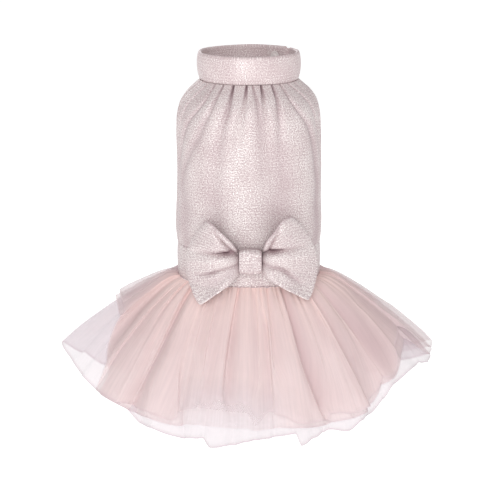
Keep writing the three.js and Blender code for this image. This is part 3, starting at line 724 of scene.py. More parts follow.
@dataclass
class Bodice:
    """The knit body: a gathered back panel, a plain belly panel and two bound leg holes."""

    wall: float = 1.1
    seam_azimuth: float = 120.0
    seam_half_gap: float = 0.15
    depths: Row = (0.3, 3.2, 8, 14.5, 24, 38, 58, 88, 119, 123.4)
    radii: Row = (36.7, 39.6, 45.0, 49.9, 53.1, 54.2, 54.8, 55.3, 55.6, 54.9)
    gathers: Row = (1.3, 1.5, 1.3, 1.0, 0.8, 0.8, 0.7, 0.5, 0.25, 0.2)
    powers: Row = (2.1, 2.15, 2.2, 2.25, 2.3, 2.4, 2.45, 2.45, 2.4, 2.4)
    crease_places: Row = (0, 11, 32, 65, 95)
    shade_places: Row = (3, 11, 28, 85)
    gather_lift: float = 0.6
    gather_scale: float = 1.35
    # A crease widens on its way down. Its notch is deepest at the neck seam.
    crease_width: float = 0.8
    crease_widening: float = 0.055
    crease_widest: float = 3.6
    crease_power: float = 1.7
    notch_share: float = 0.3
    notch_growth: float = 1.3
    notch_from_depth: float = 0.9
    notch_fall: float = 8.0
    # Painted crease shade reaches this many degrees wider than the crease.
    shade_margin: float = 0.5
    column_bunching: float = 0.35
    back_pinned: float = 80.0
    belly_pinned: float = 25.0
    broad_folds: Unevenness = Unevenness(0.5, 19, 0.06, Seed.BROAD_FOLDS)
    broad_start: float = 12.0
    broad_fall: float = 75.0
    belly_drag: Unevenness = Unevenness(0.5, 11, 0.12, Seed.BELLY_DRAG)
    belly_drag_fall: float = 30.0
    lumps: Unevenness = Unevenness(0.22, 30, 0.4, Seed.PANEL)
    waist_pucker: Unevenness = Unevenness(0.35, 6, 0, Seed.WAIST_SEAM)
    waist_pucker_rise: float = 4.0
    seam_dip: float = 0.7
    seam_dip_width: float = 1.4
    fan_strength: float = 1.6
    fan_power: float = 1.5
    fan_end: float = 75.0
    hole_depth: float = 42.0
    hole_half_width: float = 20.0
    hole_half_height: float = 23.0
    back_columns: int = 360
    belly_columns: int = 150
    binding_width: float = 3.0
    binding_thickness: float = 3.6
    binding_gap: float = 0.3
    binding_inset: float = 0.9

    @property
    def chest_radius(self) -> float:
        """The radius at the chest, on which widths round the body are measured."""
        return self.radii[5]

    def rows(self) -> np.ndarray:
        """Depths of the grid's rows below the neck seam, close on the leg holes' outline."""
        top = self.hole_depth - self.hole_half_height
        bottom = self.hole_depth + self.hole_half_height
        neck = np.linspace(self.depths[0], top, 27)
        hole = self.hole_depth - self.hole_half_height * np.cos(np.linspace(0, math.pi, 44))
        low = np.linspace(bottom, self.depths[-1], 50)
        return np.concatenate([neck[:-1], hole, low[1:]])

    def reach(self, azimuth: np.ndarray, depth: np.ndarray) -> np.ndarray:
        """The smooth outside of the bodice, as a distance from the axis."""
        radius = smooth_curve(self.depths, self.radii, depth)
        power = smooth_curve(self.depths, self.powers, depth)
        return radius * ring_reach(azimuth, power)

    def hole_angle(self, depth: np.ndarray) -> np.ndarray:
        """How far a leg hole takes from each panel at a depth, as an angle."""
        share = (depth - self.hole_depth) / self.hole_half_height
        half = self.hole_half_width * np.sqrt(np.clip(1 - share * share, 0, 1))
        seam = self.reach(np.full_like(depth, self.seam_azimuth), depth)
        return np.degrees(np.arcsin(half / seam))

    def fanned(self, azimuth: np.ndarray, depth: np.ndarray) -> np.ndarray:
        """Where a crease from an azimuth at the neck has spread to at a depth."""
        share = np.abs(azimuth) / self.seam_azimuth
        spread = share * (1 + self.fan_strength * np.maximum(1 - share, 0) ** self.fan_power)
        fallen = np.minimum(1, depth / self.fan_end)
        return np.sign(azimuth) * self.seam_azimuth * (share + (spread - share) * fallen)

    def creases(self, azimuth: np.ndarray, depth: np.ndarray) -> tuple[np.ndarray, np.ndarray]:
        """Adds up the neck's creases.

        Args:
            azimuth: Neck azimuths.
            depth: Depths below the neck seam.

        Returns:
            How far the back panel stands out in millimetres, and how much painted shade darkens
            it, from 0 to 1.
        """
        width = np.clip(self.crease_width + self.crease_widening * depth, 0, self.crease_widest)
        low_place = np.minimum(depth, self.crease_places[-1])
        lift, shade = np.full_like(depth, self.gather_lift), np.zeros_like(depth)
        for crease in NECK_CREASES:
            off = np.abs(azimuth - smooth_curve(self.crease_places, crease.azimuths, low_place))
            extra = self.notch_share + self.notch_growth * max(0, crease.depth - self.notch_from_depth)
            deeper = 1 + extra * np.exp(-depth / self.notch_fall)
            lift -= (self.gather_lift + crease.depth * deeper) * soft_bump(off, width, self.crease_power)
            # Painted shade in the crease, as dark as its shade at this depth.
            dusk = np.interp(depth, self.shade_places, crease.shades)
            shade += dusk * soft_bump(off, self.shade_margin + width)
        return self.gather_scale * smooth_curve(self.depths, self.gathers, depth) * lift, shade

    def panel(self, centre: float, half: float, columns: int, pinned: float, is_back: bool) -> np.ndarray:
        """The outer grid of a panel.

        Args:
            centre: The azimuth of its middle.
            half: Half its width, in degrees.
            columns: How many columns it has.
            pinned: How far from the middle the leg hole leaves the columns where they are.
            is_back: Whether it has the gathers.

        Returns:
            Azimuth, distance from the axis, depth and painted crease shade, stacked.
        """
        even = np.linspace(-1, 1, columns)
        bunched = (1 - self.column_bunching) * even + self.column_bunching * even**3
        offset, depth = np.meshgrid(half * bunched, self.rows())
        spread = self.fanned(offset, depth) if is_back else offset
        end = half - self.hole_angle(depth) - math.degrees(self.seam_half_gap / self.chest_radius)
        outside = np.abs(spread) > pinned
        squeezed = pinned + (np.abs(spread) - pinned) * (end - pinned) / (half - pinned)
        spread = np.where(outside, np.sign(spread) * squeezed, spread)
        azimuth = centre + spread
        reach = self.reach(azimuth, depth)
        along = np.radians(spread) * self.chest_radius
        if is_back:
            broad = self.broad_folds.at(offset, depth) * np.exp(-depth / self.broad_fall)
            lift, shade = self.creases(offset, depth)
            reach = reach + lift + broad * np.minimum(1, depth / self.broad_start)
        else:
            shade = np.zeros_like(depth)
            reach = reach + np.exp(-depth / self.belly_drag_fall) * self.belly_drag.at(along, depth)
        reach = reach + self.lumps.at(along, depth)
        low = np.exp(-(self.depths[-1] - depth) / self.waist_pucker_rise)
        reach = reach + low * self.waist_pucker.at(along, depth)
        to_seam = np.radians(end - np.abs(spread)) * self.chest_radius
        reach = reach - self.seam_dip * soft_bump(to_seam, self.seam_dip_width)
        return np.stack([azimuth, reach, depth, shade], axis=-1)

    def shell(self, panel: np.ndarray, centre: float) -> Build:
        """A cloth wall from a panel's outer grid."""
        azimuth, reach, depth = np.moveaxis(panel[..., :3], -1, 0)
        outer = polar(azimuth, reach, -depth)
        normals = surface_normals(outer, False)
        outward = polar(azimuth, np.ones_like(reach), np.zeros_like(reach))
        normals *= np.sign((normals * outward).sum(-1, keepdims=True) + 1e-9)
        run = np.hypot(np.diff(reach.mean(1)), np.diff(depth[:, 0]))
        down = np.concatenate([[0], np.cumsum(run)])[:, None] + 0 * azimuth
        weave = np.stack([np.radians(azimuth - centre) * self.chest_radius, down], axis=-1)
        return shell_build(outer, outer - self.wall * normals, weave, False)

    def binding(self, side: int) -> Build:
        """The rolled binding of one leg hole, which follows the curve of the panels."""
        half_width = self.hole_half_width - self.binding_gap - self.binding_width / 2
        half_height = self.hole_half_height - self.binding_gap - self.binding_width / 2
        steps, around = 220, 18
        turn, roll = np.meshgrid(
            np.linspace(0, FULL_TURN, steps, endpoint=False),
            np.linspace(0, FULL_TURN, around, endpoint=False),
            indexing="ij",
        )
        normal_x, normal_z = np.cos(turn) / half_width, np.sin(turn) / half_height
        length = np.hypot(normal_x, normal_z)
        # Some 46 small uneven puckers, about 2.5 mm long.
        pucker = 1 + 0.035 * np.sin(46 * turn + 1.2 * np.sin(5 * turn)) + 0.03 * np.sin(17 * turn)
        across = self.binding_width / 2 * np.cos(roll) * (0.97 + 0.03 * pucker)
        sideways = half_width * np.cos(turn) + across * normal_x / length
        z = -self.hole_depth + half_height * np.sin(turn) + across * normal_z / length
        azimuth = side * self.seam_azimuth
        out = np.full_like(sideways, self.chest_radius)
        for _ in range(5):
            on_panel = self.reach(azimuth + np.degrees(np.arctan2(sideways, out)), -z)
            middle = on_panel - self.binding_inset
            out = np.sqrt(middle**2 - sideways**2)
        out = out + self.binding_thickness / 2 * np.sin(roll) * pucker
        angle = math.radians(azimuth)
        x = out * math.sin(angle) + sideways * math.cos(angle)
        y = -out * math.cos(angle) + sideways * math.sin(angle)
        along = np.linspace(0, FULL_TURN, steps + 1)[:, None] * (half_width + half_height) / 2
        round_it = np.linspace(0, FULL_TURN, around + 1)[None, :] * self.binding_width / 2
        weave = np.stack(np.broadcast_arrays(along, round_it), axis=-1)
        return tube_build(np.stack([x, y, z], axis=-1), weave, True)

    def make(self, knit: bpy.types.Material, binding: bpy.types.Material) -> None:
        """Builds the panels and bindings.

        Args:
            knit: The panels' finish.
            binding: The bindings' finish.
        """
        belly_half = 180 - self.seam_azimuth
        back = self.panel(0.0, self.seam_azimuth, self.back_columns, self.back_pinned, True)
        belly = self.panel(180.0, belly_half, self.belly_columns, self.belly_pinned, False)
        for name, panel, centre in (("bodice_back", back, 0.0), ("bodice_belly", belly, 180.0)):
            piece = self.shell(panel, centre).piece(f"{name}_cloth", knit, Slot.KNIT, name)
            # The back panel's painted crease shade goes to its knit.
            paint(piece, FOLD_SHADE, shell_values(panel[..., 3], False))
            grid = polar(panel[..., 0], panel[..., 1], -panel[..., 2])
        for side, word in ((-1, "left"), (1, "right")):
            node = f"armhole_binding_{word}"
            self.binding(side).piece(f"{node}_cloth", binding, Slot.BINDING, node)


@dataclass
class Collar:
    """A doubled stand-up band that laps over itself on the belly side, with its snap."""

    height: float = 21.0
    foot_radius: float = 37.6
    bulge_slope: float = 0.29
    bulge_curve: float = 0.0122
    thickness: float = 3.0
    lap_outer_end: float = 131.0
    lap_inner_end: float = 153.0
    lap_delay: float = 2.0
    lap_step: float = 8.0
    lap_gap: float = 0.3
    foot_roll: float = 0.8
    foot_roll_height: float = 3.5
    top_roll: float = 0.7
    top_roll_height: float = 3.0
    face_lumps: Unevenness = Unevenness(0.16, 26, 0.5, Seed.COLLAR_FACE)
    edge_droop: Unevenness = Unevenness(0.22, 45, 0, Seed.COLLAR_EDGE)
    tuck_azimuth: float = 124.5
    tuck_depth: float = 1.7
    tuck_half_width: float = 1.5
    power: float = 2.1
    snap_azimuth: float = 142.0
    snap_height: float = 13.5
    snap_radius: float = 3.8
    snap_thickness: float = 1.2

    def radius(self, z: np.ndarray | float) -> np.ndarray | float:
        """The outer face's radius at a height, before the ring's rounded square."""
        return self.foot_radius + self.bulge_slope * z - self.bulge_curve * z * z

    def band(self) -> tuple[Build, float]:
        """The band, from its inner end once round and over that end.

        Returns:
            The mesh being built, and the band's length.
        """
        lap = self.lap_inner_end - self.lap_outer_end
        travelled, share = np.meshgrid(np.linspace(0, 360 + lap, 420), np.linspace(0, 1, 20))
        round_edge = self.thickness / 2
        z = self.height - round_edge - share * (self.height - 2 * round_edge)
        azimuth = self.lap_inner_end - travelled
        stepped = np.clip((travelled - lap - self.lap_delay) / self.lap_step, 0, 1)
        under = (self.thickness + self.lap_gap) * (1 - stepped**2 * (3 - 2 * stepped))
        along = np.radians(travelled) * self.foot_radius
        foot_roll = self.foot_roll * np.clip(1 - z / self.foot_roll_height, 0, 1) ** 2
        top_roll = self.top_roll * np.clip(1 - (self.height - z) / self.top_roll_height, 0, 1) ** 2
        uneven = self.face_lumps.at(along, z) - foot_roll - top_roll
        reach = self.radius(z) * ring_reach(azimuth, self.power) - under + uneven
        droop = self.edge_droop.at(along, z) * (z / self.height)
        outer = polar(azimuth, reach, z + droop)
        tuck = self.tuck_depth * soft_bump(azimuth - self.tuck_azimuth, self.tuck_half_width)
        inner = polar(azimuth, reach - self.thickness + tuck, z + droop)
        weave = np.stack([along, self.height - z], axis=-1)
        length = float(line_lengths(outer, 1).mean())
        return shell_build(outer, inner, weave, False, 5), length

    def snap(self) -> Build:
        """The snap on the lap's inner face: a rim, a shallow dish and a round head."""
        face = self.radius(self.snap_height) * ring_reach(np.array(self.snap_azimuth), self.power)
        face = float(face) - 2 * self.thickness - self.lap_gap
        sag = self.snap_radius**2 / (2 * face) + self.bulge_curve * self.snap_radius**2
        base = face - self.lap_gap - sag
        # The profile runs from the cloth side, over the rim, to the middle of the head.
        profile = (
            (0.05, 0.0), (3.3, 0.0), (3.72, 0.1), (3.8, 0.45), (3.66, 0.85), (3.3, 1.0),
            (2.9, 0.86), (2.4, 0.5), (2.0, 0.45), (1.7, 0.6), (1.45, 1.0), (1.1, 1.17), (0.05, 1.2),
        )
        around = 48
        turn = np.linspace(0, FULL_TURN, around, endpoint=False)
        radius, rise = (np.array(column)[:, None] + 0 * turn for column in zip(*profile))
        across, up = radius * np.cos(turn), radius * np.sin(turn)
        angle = math.radians(self.snap_azimuth)
        distance = base - rise
        x = distance * math.sin(angle) + across * math.cos(angle)
        y = -distance * math.cos(angle) + across * math.sin(angle)
        sections = np.stack([x, y, self.snap_height + up], axis=-1)
        weave = np.zeros((len(profile), around + 1, 2))
        return tube_build(sections, weave, False)

    def make(self, knit: bpy.types.Material, plastic: bpy.types.Material) -> None:
        """Builds the band and the snap.

        Args:
            knit: The band's finish.
            plastic: The snap's finish.
        """
        build, length = self.band()
        piece = build.piece("collar_cloth", knit, Slot.KNIT, "collar")
        self.snap().piece("collar_snap_cap", plastic, Slot.SNAP, "collar_snap")


@dataclass
class Waistband:
    """A doubled knit band, stitched to the bodice above it and the tulle below it."""

    top: float = -123.7
    bottom: float = -149.7
    wall: float = 2.2
    power: float = 2.4
    lump: float = 0.2
    pucker: float = 0.22
    pucker_rise: float = 3.0
    heights: Row = (-149.7, -142, -130, -123.7)
    radii: Row = (54.9, 55.3, 55.2, 54.6)

    def make(self, knit: bpy.types.Material) -> None:
        """Builds the band.

        Args:
            knit: The band's finish.
        """
        half = self.wall / 2
        columns = 560
        azimuth, z = np.meshgrid(
            np.linspace(0, 360, columns, endpoint=False),
            np.linspace(self.top - half, self.bottom + half, 26),
        )
        angle = np.radians(azimuth)
        # The seams pull the band into some 74 small uneven puckers, fewer at its top.
        below, above = (z - self.bottom) / self.pucker_rise, (self.top - z) / self.pucker_rise
        seam = np.exp(-below) + 0.6 * np.exp(-above)
        pucker = np.sin(74 * angle + 2 * np.sin(5 * angle)) * (0.7 + 0.3 * np.sin(9 * angle))
        lumps = self.lump * np.sin(7 * angle + z * 0.06) * np.sin(3 * angle + 1)
        reach = smooth_curve(self.heights, self.radii, z) * ring_reach(azimuth, self.power)
        reach = reach + lumps + self.pucker * seam * pucker
        outer = polar(azimuth, reach, z)
        inner = polar(azimuth, reach - self.wall, z)
        along = np.radians(np.linspace(0, 360, columns + 1)) * self.radii[1]
        weave = np.stack(np.broadcast_arrays(along[None, :], self.top - z[:, :1]), axis=-1)
        build = shell_build(outer, inner, weave, True, 4)
        piece = build.piece("waistband_cloth", knit, Slot.KNIT, "waistband")


class BowFold(NamedTuple):
    """A fold in a bow loop's front: its line as (out, z) points, its depth and half width.

    A negative depth is a ridge. The taper gives its strength at four places along the line.
    The shade is how much painted shade darkens the knit in it.
    """

    line: Line
    depth: float
    width: float
    taper: tuple[float, float, float, float] = (0.5, 1.0, 0.55, 0.1)
    shade: float = 0.0


def line_offset(x: np.ndarray, z: np.ndarray, line: Line) -> tuple[np.ndarray, np.ndarray]:
    """Measures points from a bent line.

    Args:
        x: The points' first coordinate.
        z: The points' second coordinate.
        line: The line's points.

    Returns:
        The distance to the line, and the share of the line's length at the nearest place.
    """
    corners = np.array(line, float)
    runs = np.diff(corners, axis=0)
    lengths = np.linalg.norm(runs, axis=1)
    starts = np.concatenate([[0], np.cumsum(lengths)])
    nearest = np.full(np.shape(x), np.inf)
    share = np.zeros(np.shape(x))
    for (start_x, start_z), (run_x, run_z), length, before in zip(corners[:-1], runs, lengths, starts):
        t = np.clip(((x - start_x) * run_x + (z - start_z) * run_z) / length**2, 0, 1)
        distance = np.hypot(x - start_x - t * run_x, z - start_z - t * run_z)
        closer = distance < nearest
        nearest = np.where(closer, distance, nearest)
        share = np.where(closer, (before + t * length) / starts[-1], share)
    return nearest, share


@dataclass
class BowLoop:
    """One loop of the bow: a doubled ribbon from the knot, round and back."""

    word: str
    side: int
    bulge: float
    top_out: Row
    top_z: Row
    bottom_out: Row
    bottom_z: Row
    folds: tuple[BowFold, ...]
    along: Row = (0, 0.3, 0.6, 0.85, 1)
    taper_places: Row = (0, 0.25, 0.6, 1)
    wall: float = 1.1
    crest_radius: float = 61.0
    wrap: float = 0.0068
    rest_z: float = -146.0
    rest_slope: float = 0.6
    back_offset: float = 0.9
    knot_half_gap: float = 1.9
    end_half_gap: float = 5.4
    puff: float = 2.6
    out_power: float = 0.62
    back_inset: float = 3.5
    cut_height: float = 64.0
    side_roundness: float = 0.7
    bulge_power: float = 1.5
    # Shares of the run: where the back's inset ends and its ramp, and the front's ramp.
    inset_end: float = 0.42
    inset_ramp: float = 0.2
    front_start: float = 0.5
    front_ramp: float = 0.08
    lump: float = 0.3
    lump_length: float = 13.0
    # A thin line of painted shadow runs along the top edge, over this share of the height.
    edge_share: float = 0.03
    edge_shade: float = 0.75
    cut_share: float = 0.72
    margin: float = 0.012
    rows: int = 112
    columns: int = 150

    def middle(self, across: np.ndarray, run: np.ndarray) -> tuple[np.ndarray, np.ndarray]:
        """The ribbon's middle surface.

        Args:
            across: From 0 at the loop's top edge to 1 at its bottom edge.
            run: From 0 at the knot, along the back and round, to 1 at the knot in front.

        Returns:
            Points in millimetres, and how much painted shade darkens the knit there.
        """
        turn = math.pi * run
        along = np.sin(turn) ** self.out_power
        edges = (self.top_out, self.top_z, self.bottom_out, self.bottom_z)
        top_out, top_z, bottom_out, bottom_z = (smooth_curve(self.along, edge, along) for edge in edges)
        round_side = np.sin(math.pi * across) ** self.side_roundness
        bulge = self.bulge * round_side * along**self.bulge_power
        out = top_out + (bottom_out - top_out) * across + bulge
        behind = np.clip((self.inset_end - run) / self.inset_ramp, 0, 1) * np.minimum(1, along / 0.4)
        z = top_z + (bottom_z - top_z) * across - self.back_inset * behind * (1 - across) ** 3
        half_gap = self.knot_half_gap + (self.end_half_gap - self.knot_half_gap) * along
        half_gap = half_gap + self.puff * np.sin(math.pi * along)
        depth = half_gap * (1 - np.cos(turn))
        front = np.clip((run - self.front_start) / self.front_ramp, 0, 1)
        # Painted shadow along the top edge, and painted shade in the front's folds.
        shade = self.edge_shade * np.clip(1 - across / self.edge_share, 0, 1)
        for fold in self.folds:
            distance, share = line_offset(out, z, fold.line)
            trough = soft_bump(distance, fold.width) * np.interp(share, self.taper_places, fold.taper)
            depth = depth - front * fold.depth * trough
            shade = shade + front * fold.shade * trough
        lumps = Unevenness(self.lump, self.lump_length, 1, Seed.BOW + self.side)
        depth = depth + front * lumps.at(out, z) * along
        wrapped = self.crest_radius - self.wrap * out * out
        back = -(wrapped + self.rest_slope * np.maximum(0, self.rest_z - z))
        return np.stack([self.side * out, back + self.back_offset - depth, z], axis=-1), shade

    def make(self, knit: bpy.types.Material) -> None:
        """Builds the loop.

        Args:
            knit: The ribbon's finish.
        """
        shares = np.linspace(self.margin, 1 - self.margin, self.rows)
        across, run = np.meshgrid(shares, np.linspace(0, 1, self.columns), indexing="ij")
        grid, shade = self.middle(across, run)
        normals = surface_normals(grid, False)
        offset = self.wall / 2 * normals
        middle_line = grid[self.rows // 2]
        steps = np.linalg.norm(np.diff(middle_line, axis=0), axis=-1)
        lengths = np.concatenate([[0], np.cumsum(steps)])
        weave = np.stack(np.broadcast_arrays(lengths[None, :], across * self.cut_height), axis=-1)
        build = shell_build(grid + offset, grid - offset, weave, False, 4)
        node = f"bow_loop_{self.word}"
        piece = build.piece(f"{node}_cloth", knit, Slot.KNIT, node)
        # The painted shadow and shade go to the ribbon's knit.
        paint(piece, FOLD_SHADE, shell_values(shade, False, 4))


BOW_LOOPS = (
    BowLoop(
        "left", -1, 14.5,
        (8.1, 13, 20, 26, 28.7), (-120, -111, -103.4, -98, -96.5),
        (8.1, 14.5, 22.5, 30, 34.9), (-137.4, -144, -149.8, -156, -160.6),
        (
            BowFold(((8, -122.5), (13.5, -117.5), (19.7, -110.7), (27, -102)), 4.0, 1.5,
                    (0.8, 1.0, 0.7, 0.3), 0.35),
            BowFold(((9, -119), (14, -112.5), (22, -103.5)), -1.6, 1.9, (0.6, 1.0, 1.0, 0.6)),
            BowFold(((13, -119.8), (22, -120)), 3.0, 1.9, (0.6, 1.0, 0.9, 0.2), 0.95),
            BowFold(((9, -134), (22, -147.5), (32, -157)), -1.3, 2.2, (0.5, 1.0, 1.0, 0.7)),
            BowFold(((8, -122.6), (13.5, -121), (21.8, -121), (29.5, -120.4), (41.4, -121)), 5.2, 1.7,
                    (0.5, 1.0, 0.55, 0.1), 0.4),
            BowFold(((12, -120.5), (17, -116.5), (22, -113.5)), 1.4, 0.9),
            BowFold(((15, -121), (21, -118.5), (26, -117.5)), 1.5, 0.9),
            BowFold(((9, -126), (24, -126.5), (42, -128.5)), -1.5, 3.4, (0.3, 0.8, 1.0, 0.8)),
            BowFold(((8, -129.6), (19.1, -132.2), (28.8, -136), (40.9, -138.9)), 3.2, 1.5,
                    (0.5, 0.6, 1.0, 0.1), 0.5),
            BowFold(((10, -133.5), (22, -140.5), (31, -146)), 1.1, 3.0, (0.3, 1.0, 0.8, 0.3), 0.25),
        ),
    ),
    BowLoop(
        "right", 1, 14.0,
        (10.3, 13, 18.6, 25, 29.5), (-120, -110.5, -102.4, -94.4, -93.4),
        (10.3, 15, 25.1, 34.5, 43), (-136.4, -139.6, -146.5, -152.6, -158.4),
        (
            BowFold(((10, -121.5), (15, -118), (17.6, -111.5), (22.8, -101.1)), 4.0, 1.5,
                    (0.8, 1.0, 0.7, 0.3), 0.35),
            BowFold(((11, -118), (14.5, -110.5), (20.5, -100)), -1.6, 1.9, (0.6, 1.0, 1.0, 0.6)),
            BowFold(((11, -133), (24, -143.5), (40, -155)), -1.3, 2.2, (0.5, 1.0, 1.0, 0.7)),
            BowFold(((10, -122.5), (15, -119.6), (23.9, -118.3), (35, -117.3), (44.9, -115.7)), 5.0, 1.8,
                    (0.5, 1.0, 0.55, 0.1), 0.4),
            BowFold(((17, -118.6), (25, -117.4)), 4.0, 2.0, (0.9, 1.0, 0.6, 0.2), 0.95),
            BowFold(((18, -116), (23, -112), (28, -110)), 1.6, 1.6),
            BowFold(((11, -125.5), (25, -124.5), (42, -124)), -1.5, 3.2, (0.3, 0.8, 1.0, 0.8)),
            BowFold(((10, -128.9), (17, -130.7), (23.9, -131.9), (29.5, -136.7), (38.1, -145)), 3.4, 1.9,
                    (0.5, 0.7, 1.0, 0.3), 0.5),
            BowFold(((24, -133), (34, -135), (44, -139)), 1.4, 2.4, (0.3, 1.0, 0.8, 0.2)),
        ),
    ),
)


@dataclass
class BowKnot:
    """The knot: a strip wrapped round the middle of the bow, in soft level folds."""

    x: float = 1.1
    half_width: float = 8.4
    half_height: float = 9.4
    z: float = -127.3
    back_y: float = -55.9
    depth: float = 13.4
    power: float = 4.0
    side_fall: float = 0.35
    crease_angles: Row = (-61, -44, -27, -9, 12, 28, 44, 60)
    crease_depths: Row = (0.4, 0.55, 0.7, 0.45, 0.35, 0.6, 0.45, 0.4)
    crease_half_angle: float = 4.0
    crease_sway: float = 3.0
    crease_shade: float = 0.25
    cut_round: float = 56.0

    def make(self, knit: bpy.types.Material) -> None:
        """Builds the knot.

        Args:
            knit: The strip's finish.
        """
        steps, around = 44, 120
        share, angle = np.meshgrid(
            np.sin(np.linspace(-1, 1, steps) * math.pi / 2),
            np.linspace(-180, 180, around, endpoint=False),
            indexing="ij",
        )
        plump = np.sqrt(1 - self.side_fall * np.abs(share) ** 4)
        reach = ring_reach(angle, self.power)
        # Painted shade darkens the knit where the strip turns behind the bow, and at its cut ends.
        shade = 0.9 * soft_bump(np.abs(angle) - 90, 12) + 0.4 * np.clip(np.abs(share) * 12 - 11, 0, 1)
        for place, depth in zip(self.crease_angles, self.crease_depths):
            off = angle - place - self.crease_sway * np.sin(share * 2 + place)
            reach = reach - depth / self.half_height * soft_bump(off, self.crease_half_angle)
            # Painted shade in each soft fold.
            shade = shade + self.crease_shade * soft_bump(off, self.crease_half_angle - 1)
        forward = reach * np.cos(np.radians(angle)) * self.depth / 2
        upward = reach * np.sin(np.radians(angle)) * self.half_height
        x = self.x + self.half_width * share
        y = self.back_y - self.depth / 2 - forward * plump
        sections = np.stack([x, y, self.z + upward * plump], axis=-1)
        round_it = np.linspace(-180, 180, around + 1)[None, :] / 360 * self.cut_round
        weave = np.stack(np.broadcast_arrays(x[:, :1], round_it), axis=-1)
        build = tube_build(sections, weave, False)
        piece = build.piece("bow_knot_cloth", knit, Slot.KNIT, "bow_knot")
        paint(piece, FOLD_SHADE, shade)


class SkirtFold(NamedTuple):
    """A place round the skirt: the net's fall below level, and each layer's length there."""

    azimuth: float
    slope: float
    top: float
    middle: float
    under: float


SKIRT_FOLDS = tuple(
    SkirtFold(*row)
    for row in (
        (-180, 55, 102, 107, 114),
        (-166, 60, 95, 105, 118),
        (-156, 53, 103, 108, 114),
        (-146, 56, 96, 104, 116),
        (-136, 49, 100, 106, 113),
        (-126, 60, 90, 100, 113),
        (-115, 60, 80, 88, 111),
        (-104, 53, 62, 70, 108),
        (-95, 41, 52, 58, 105),
        (-88, 29.7, 47, 52, 108.5),
        (-77, 36, 48, 54, 106),
        (-70, 40, 53, 60, 106.5),
        (-63, 47, 84, 88, 107.5),
        (-54.5, 47, 107.5, 108, 107.5),
        (-49, 51.5, 107.2, 107.8, 107),
        (-45, 57.5, 102.6, 107, 112.8),
        (-38, 54.5, 106, 109, 114.2),
        (-32.5, 59.5, 106.5, 108.5, 115.3),
        (-29.8, 62.5, 98.5, 107, 115.5),
        (-23, 60.5, 96, 106, 114.8),
        (-16.5, 59, 94.6, 105.5, 114),
        (-14.5, 61, 94.4, 105.5, 120.2),
        (-7, 64.5, 94.5, 105.5, 117.2),
        (-1, 61.5, 96, 106, 115),
        (2.8, 63, 105, 107.5, 113.6),
        (6.4, 64.5, 94.6, 106, 112.6),
        (12, 62, 98.7, 106, 111.4),
        (19, 59.5, 106.6, 108, 110.9),
        (21, 59.5, 107.2, 108.5, 119.9),
        (27.5, 60.5, 105.8, 108.5, 115.3),
        (32, 61.5, 106.2, 108, 112.3),
        (34, 60.5, 101.6, 107, 111.4),
        (39.5, 55, 107.5, 109.5, 116.4),
        (44, 52.5, 107.2, 109.5, 112.6),
        (49, 53, 105.8, 108.5, 110.6),
        (52, 53.5, 99.5, 104, 110),
        (56, 49.5, 91.5, 95, 105),
        (62, 43.5, 96, 97.5, 100.5),
        (67, 40.5, 81, 90, 100.4),
        (75, 38, 72, 82, 102.6),
        (85, 37, 106, 108.5, 111.5),
        (92, 36, 108, 111, 114),
        (102, 47, 104, 106, 110),
        (113, 58, 96, 104, 111),
        (125, 60, 94, 103, 113),
        (136, 49, 101, 107, 114),
        (147, 56, 95, 104, 116),
        (157, 53, 103, 108, 115),
        (168, 60, 96, 105, 117),
        (180, 55, 102, 107, 114),
    )
)


class SkirtCrease(NamedTuple):
    """A deep crease down the skirt.

    It has its azimuths at the waist, halfway and at the hem, and its depth and width. The
    side of its lean is folded over, as wide as its band in degrees, and darkened by its shade,
    partly as doubled net and partly as painted shade.
    It runs from one share of the length to another.
    """

    waist: float
    halfway: float
    hem: float
    depth: float
    width: float
    lean: float
    shade: float
    band: float
    start: float
    end: float


FRONT_CREASES = tuple(
    SkirtCrease(*row)
    for row in (
        (-80, -81, -82, 2.0, 3.4, -1, 0.35, 4.0, 0, 0.9),
        (-73, -74, -74, 2.2, 3.4, -1, 0.3, 3.0, 0, 0.7),
        (-66, -66, -66, 3.4, 3.4, 1, 0.5, 3.2, 0, 0.85),
        (-56, -55, -55, 2.4, 3.0, 1, 0.2, 2.6, 0.1, 1.2),
        (-50, -49, -49, 2.2, 2.6, 1, 0.25, 2.4, 0, 0.45),
        (-43, -40, -45, 5.2, 3.0, 1, 0.75, 2.6, 0, 1.2),
        (-33, -34.5, -30.5, 2.2, 2.4, -1, 0.2, 2.6, 0.35, 1.2),
        (-25, -23, -22, 2.2, 3.0, 1, 0.25, 2.6, 0, 0.6),
        (-19, -16.5, -15.5, 2.8, 2.8, 1, 0.3, 3.2, 0.1, 1.2),
        (-6, -7.5, -7, 3.0, 2.6, 1, 0.4, 2.4, 0, 0.9),
        (2.9, 2.1, 1.8, 2.2, 2.2, -1, 0.25, 2.2, 0, 0.8),
        (9, 7.5, 7, 1.8, 2.2, -1, 0.2, 2.4, 0.25, 1.2),
        (16, 15, 14.5, 2.4, 2.8, 1, 0.3, 2.6, 0, 0.7),
        (22, 21, 21, 1.6, 2.2, 1, 0.2, 2.2, 0, 0.3),
        (27, 28, 34, 6.0, 3.2, 1, 0.95, 4.4, 0, 1.0),
        (39, 38, 38, 1.6, 2.6, -1, 0.2, 2.4, 0, 0.5),
        (46, 47, 50.5, 4.6, 3.4, 1, 0.6, 4.0, 0, 1.1),
        (57, 58.5, 61.5, 5.0, 4.2, 1, 0.95, 6.0, 0, 1.05),
        (69, 69, 69, 1.4, 4.2, 1, 0.12, 4.0, 0.3, 0.95),
        (75, 74, 73, 2.4, 3.2, -1, 0.25, 3.0, 0, 1.2),
    )
)


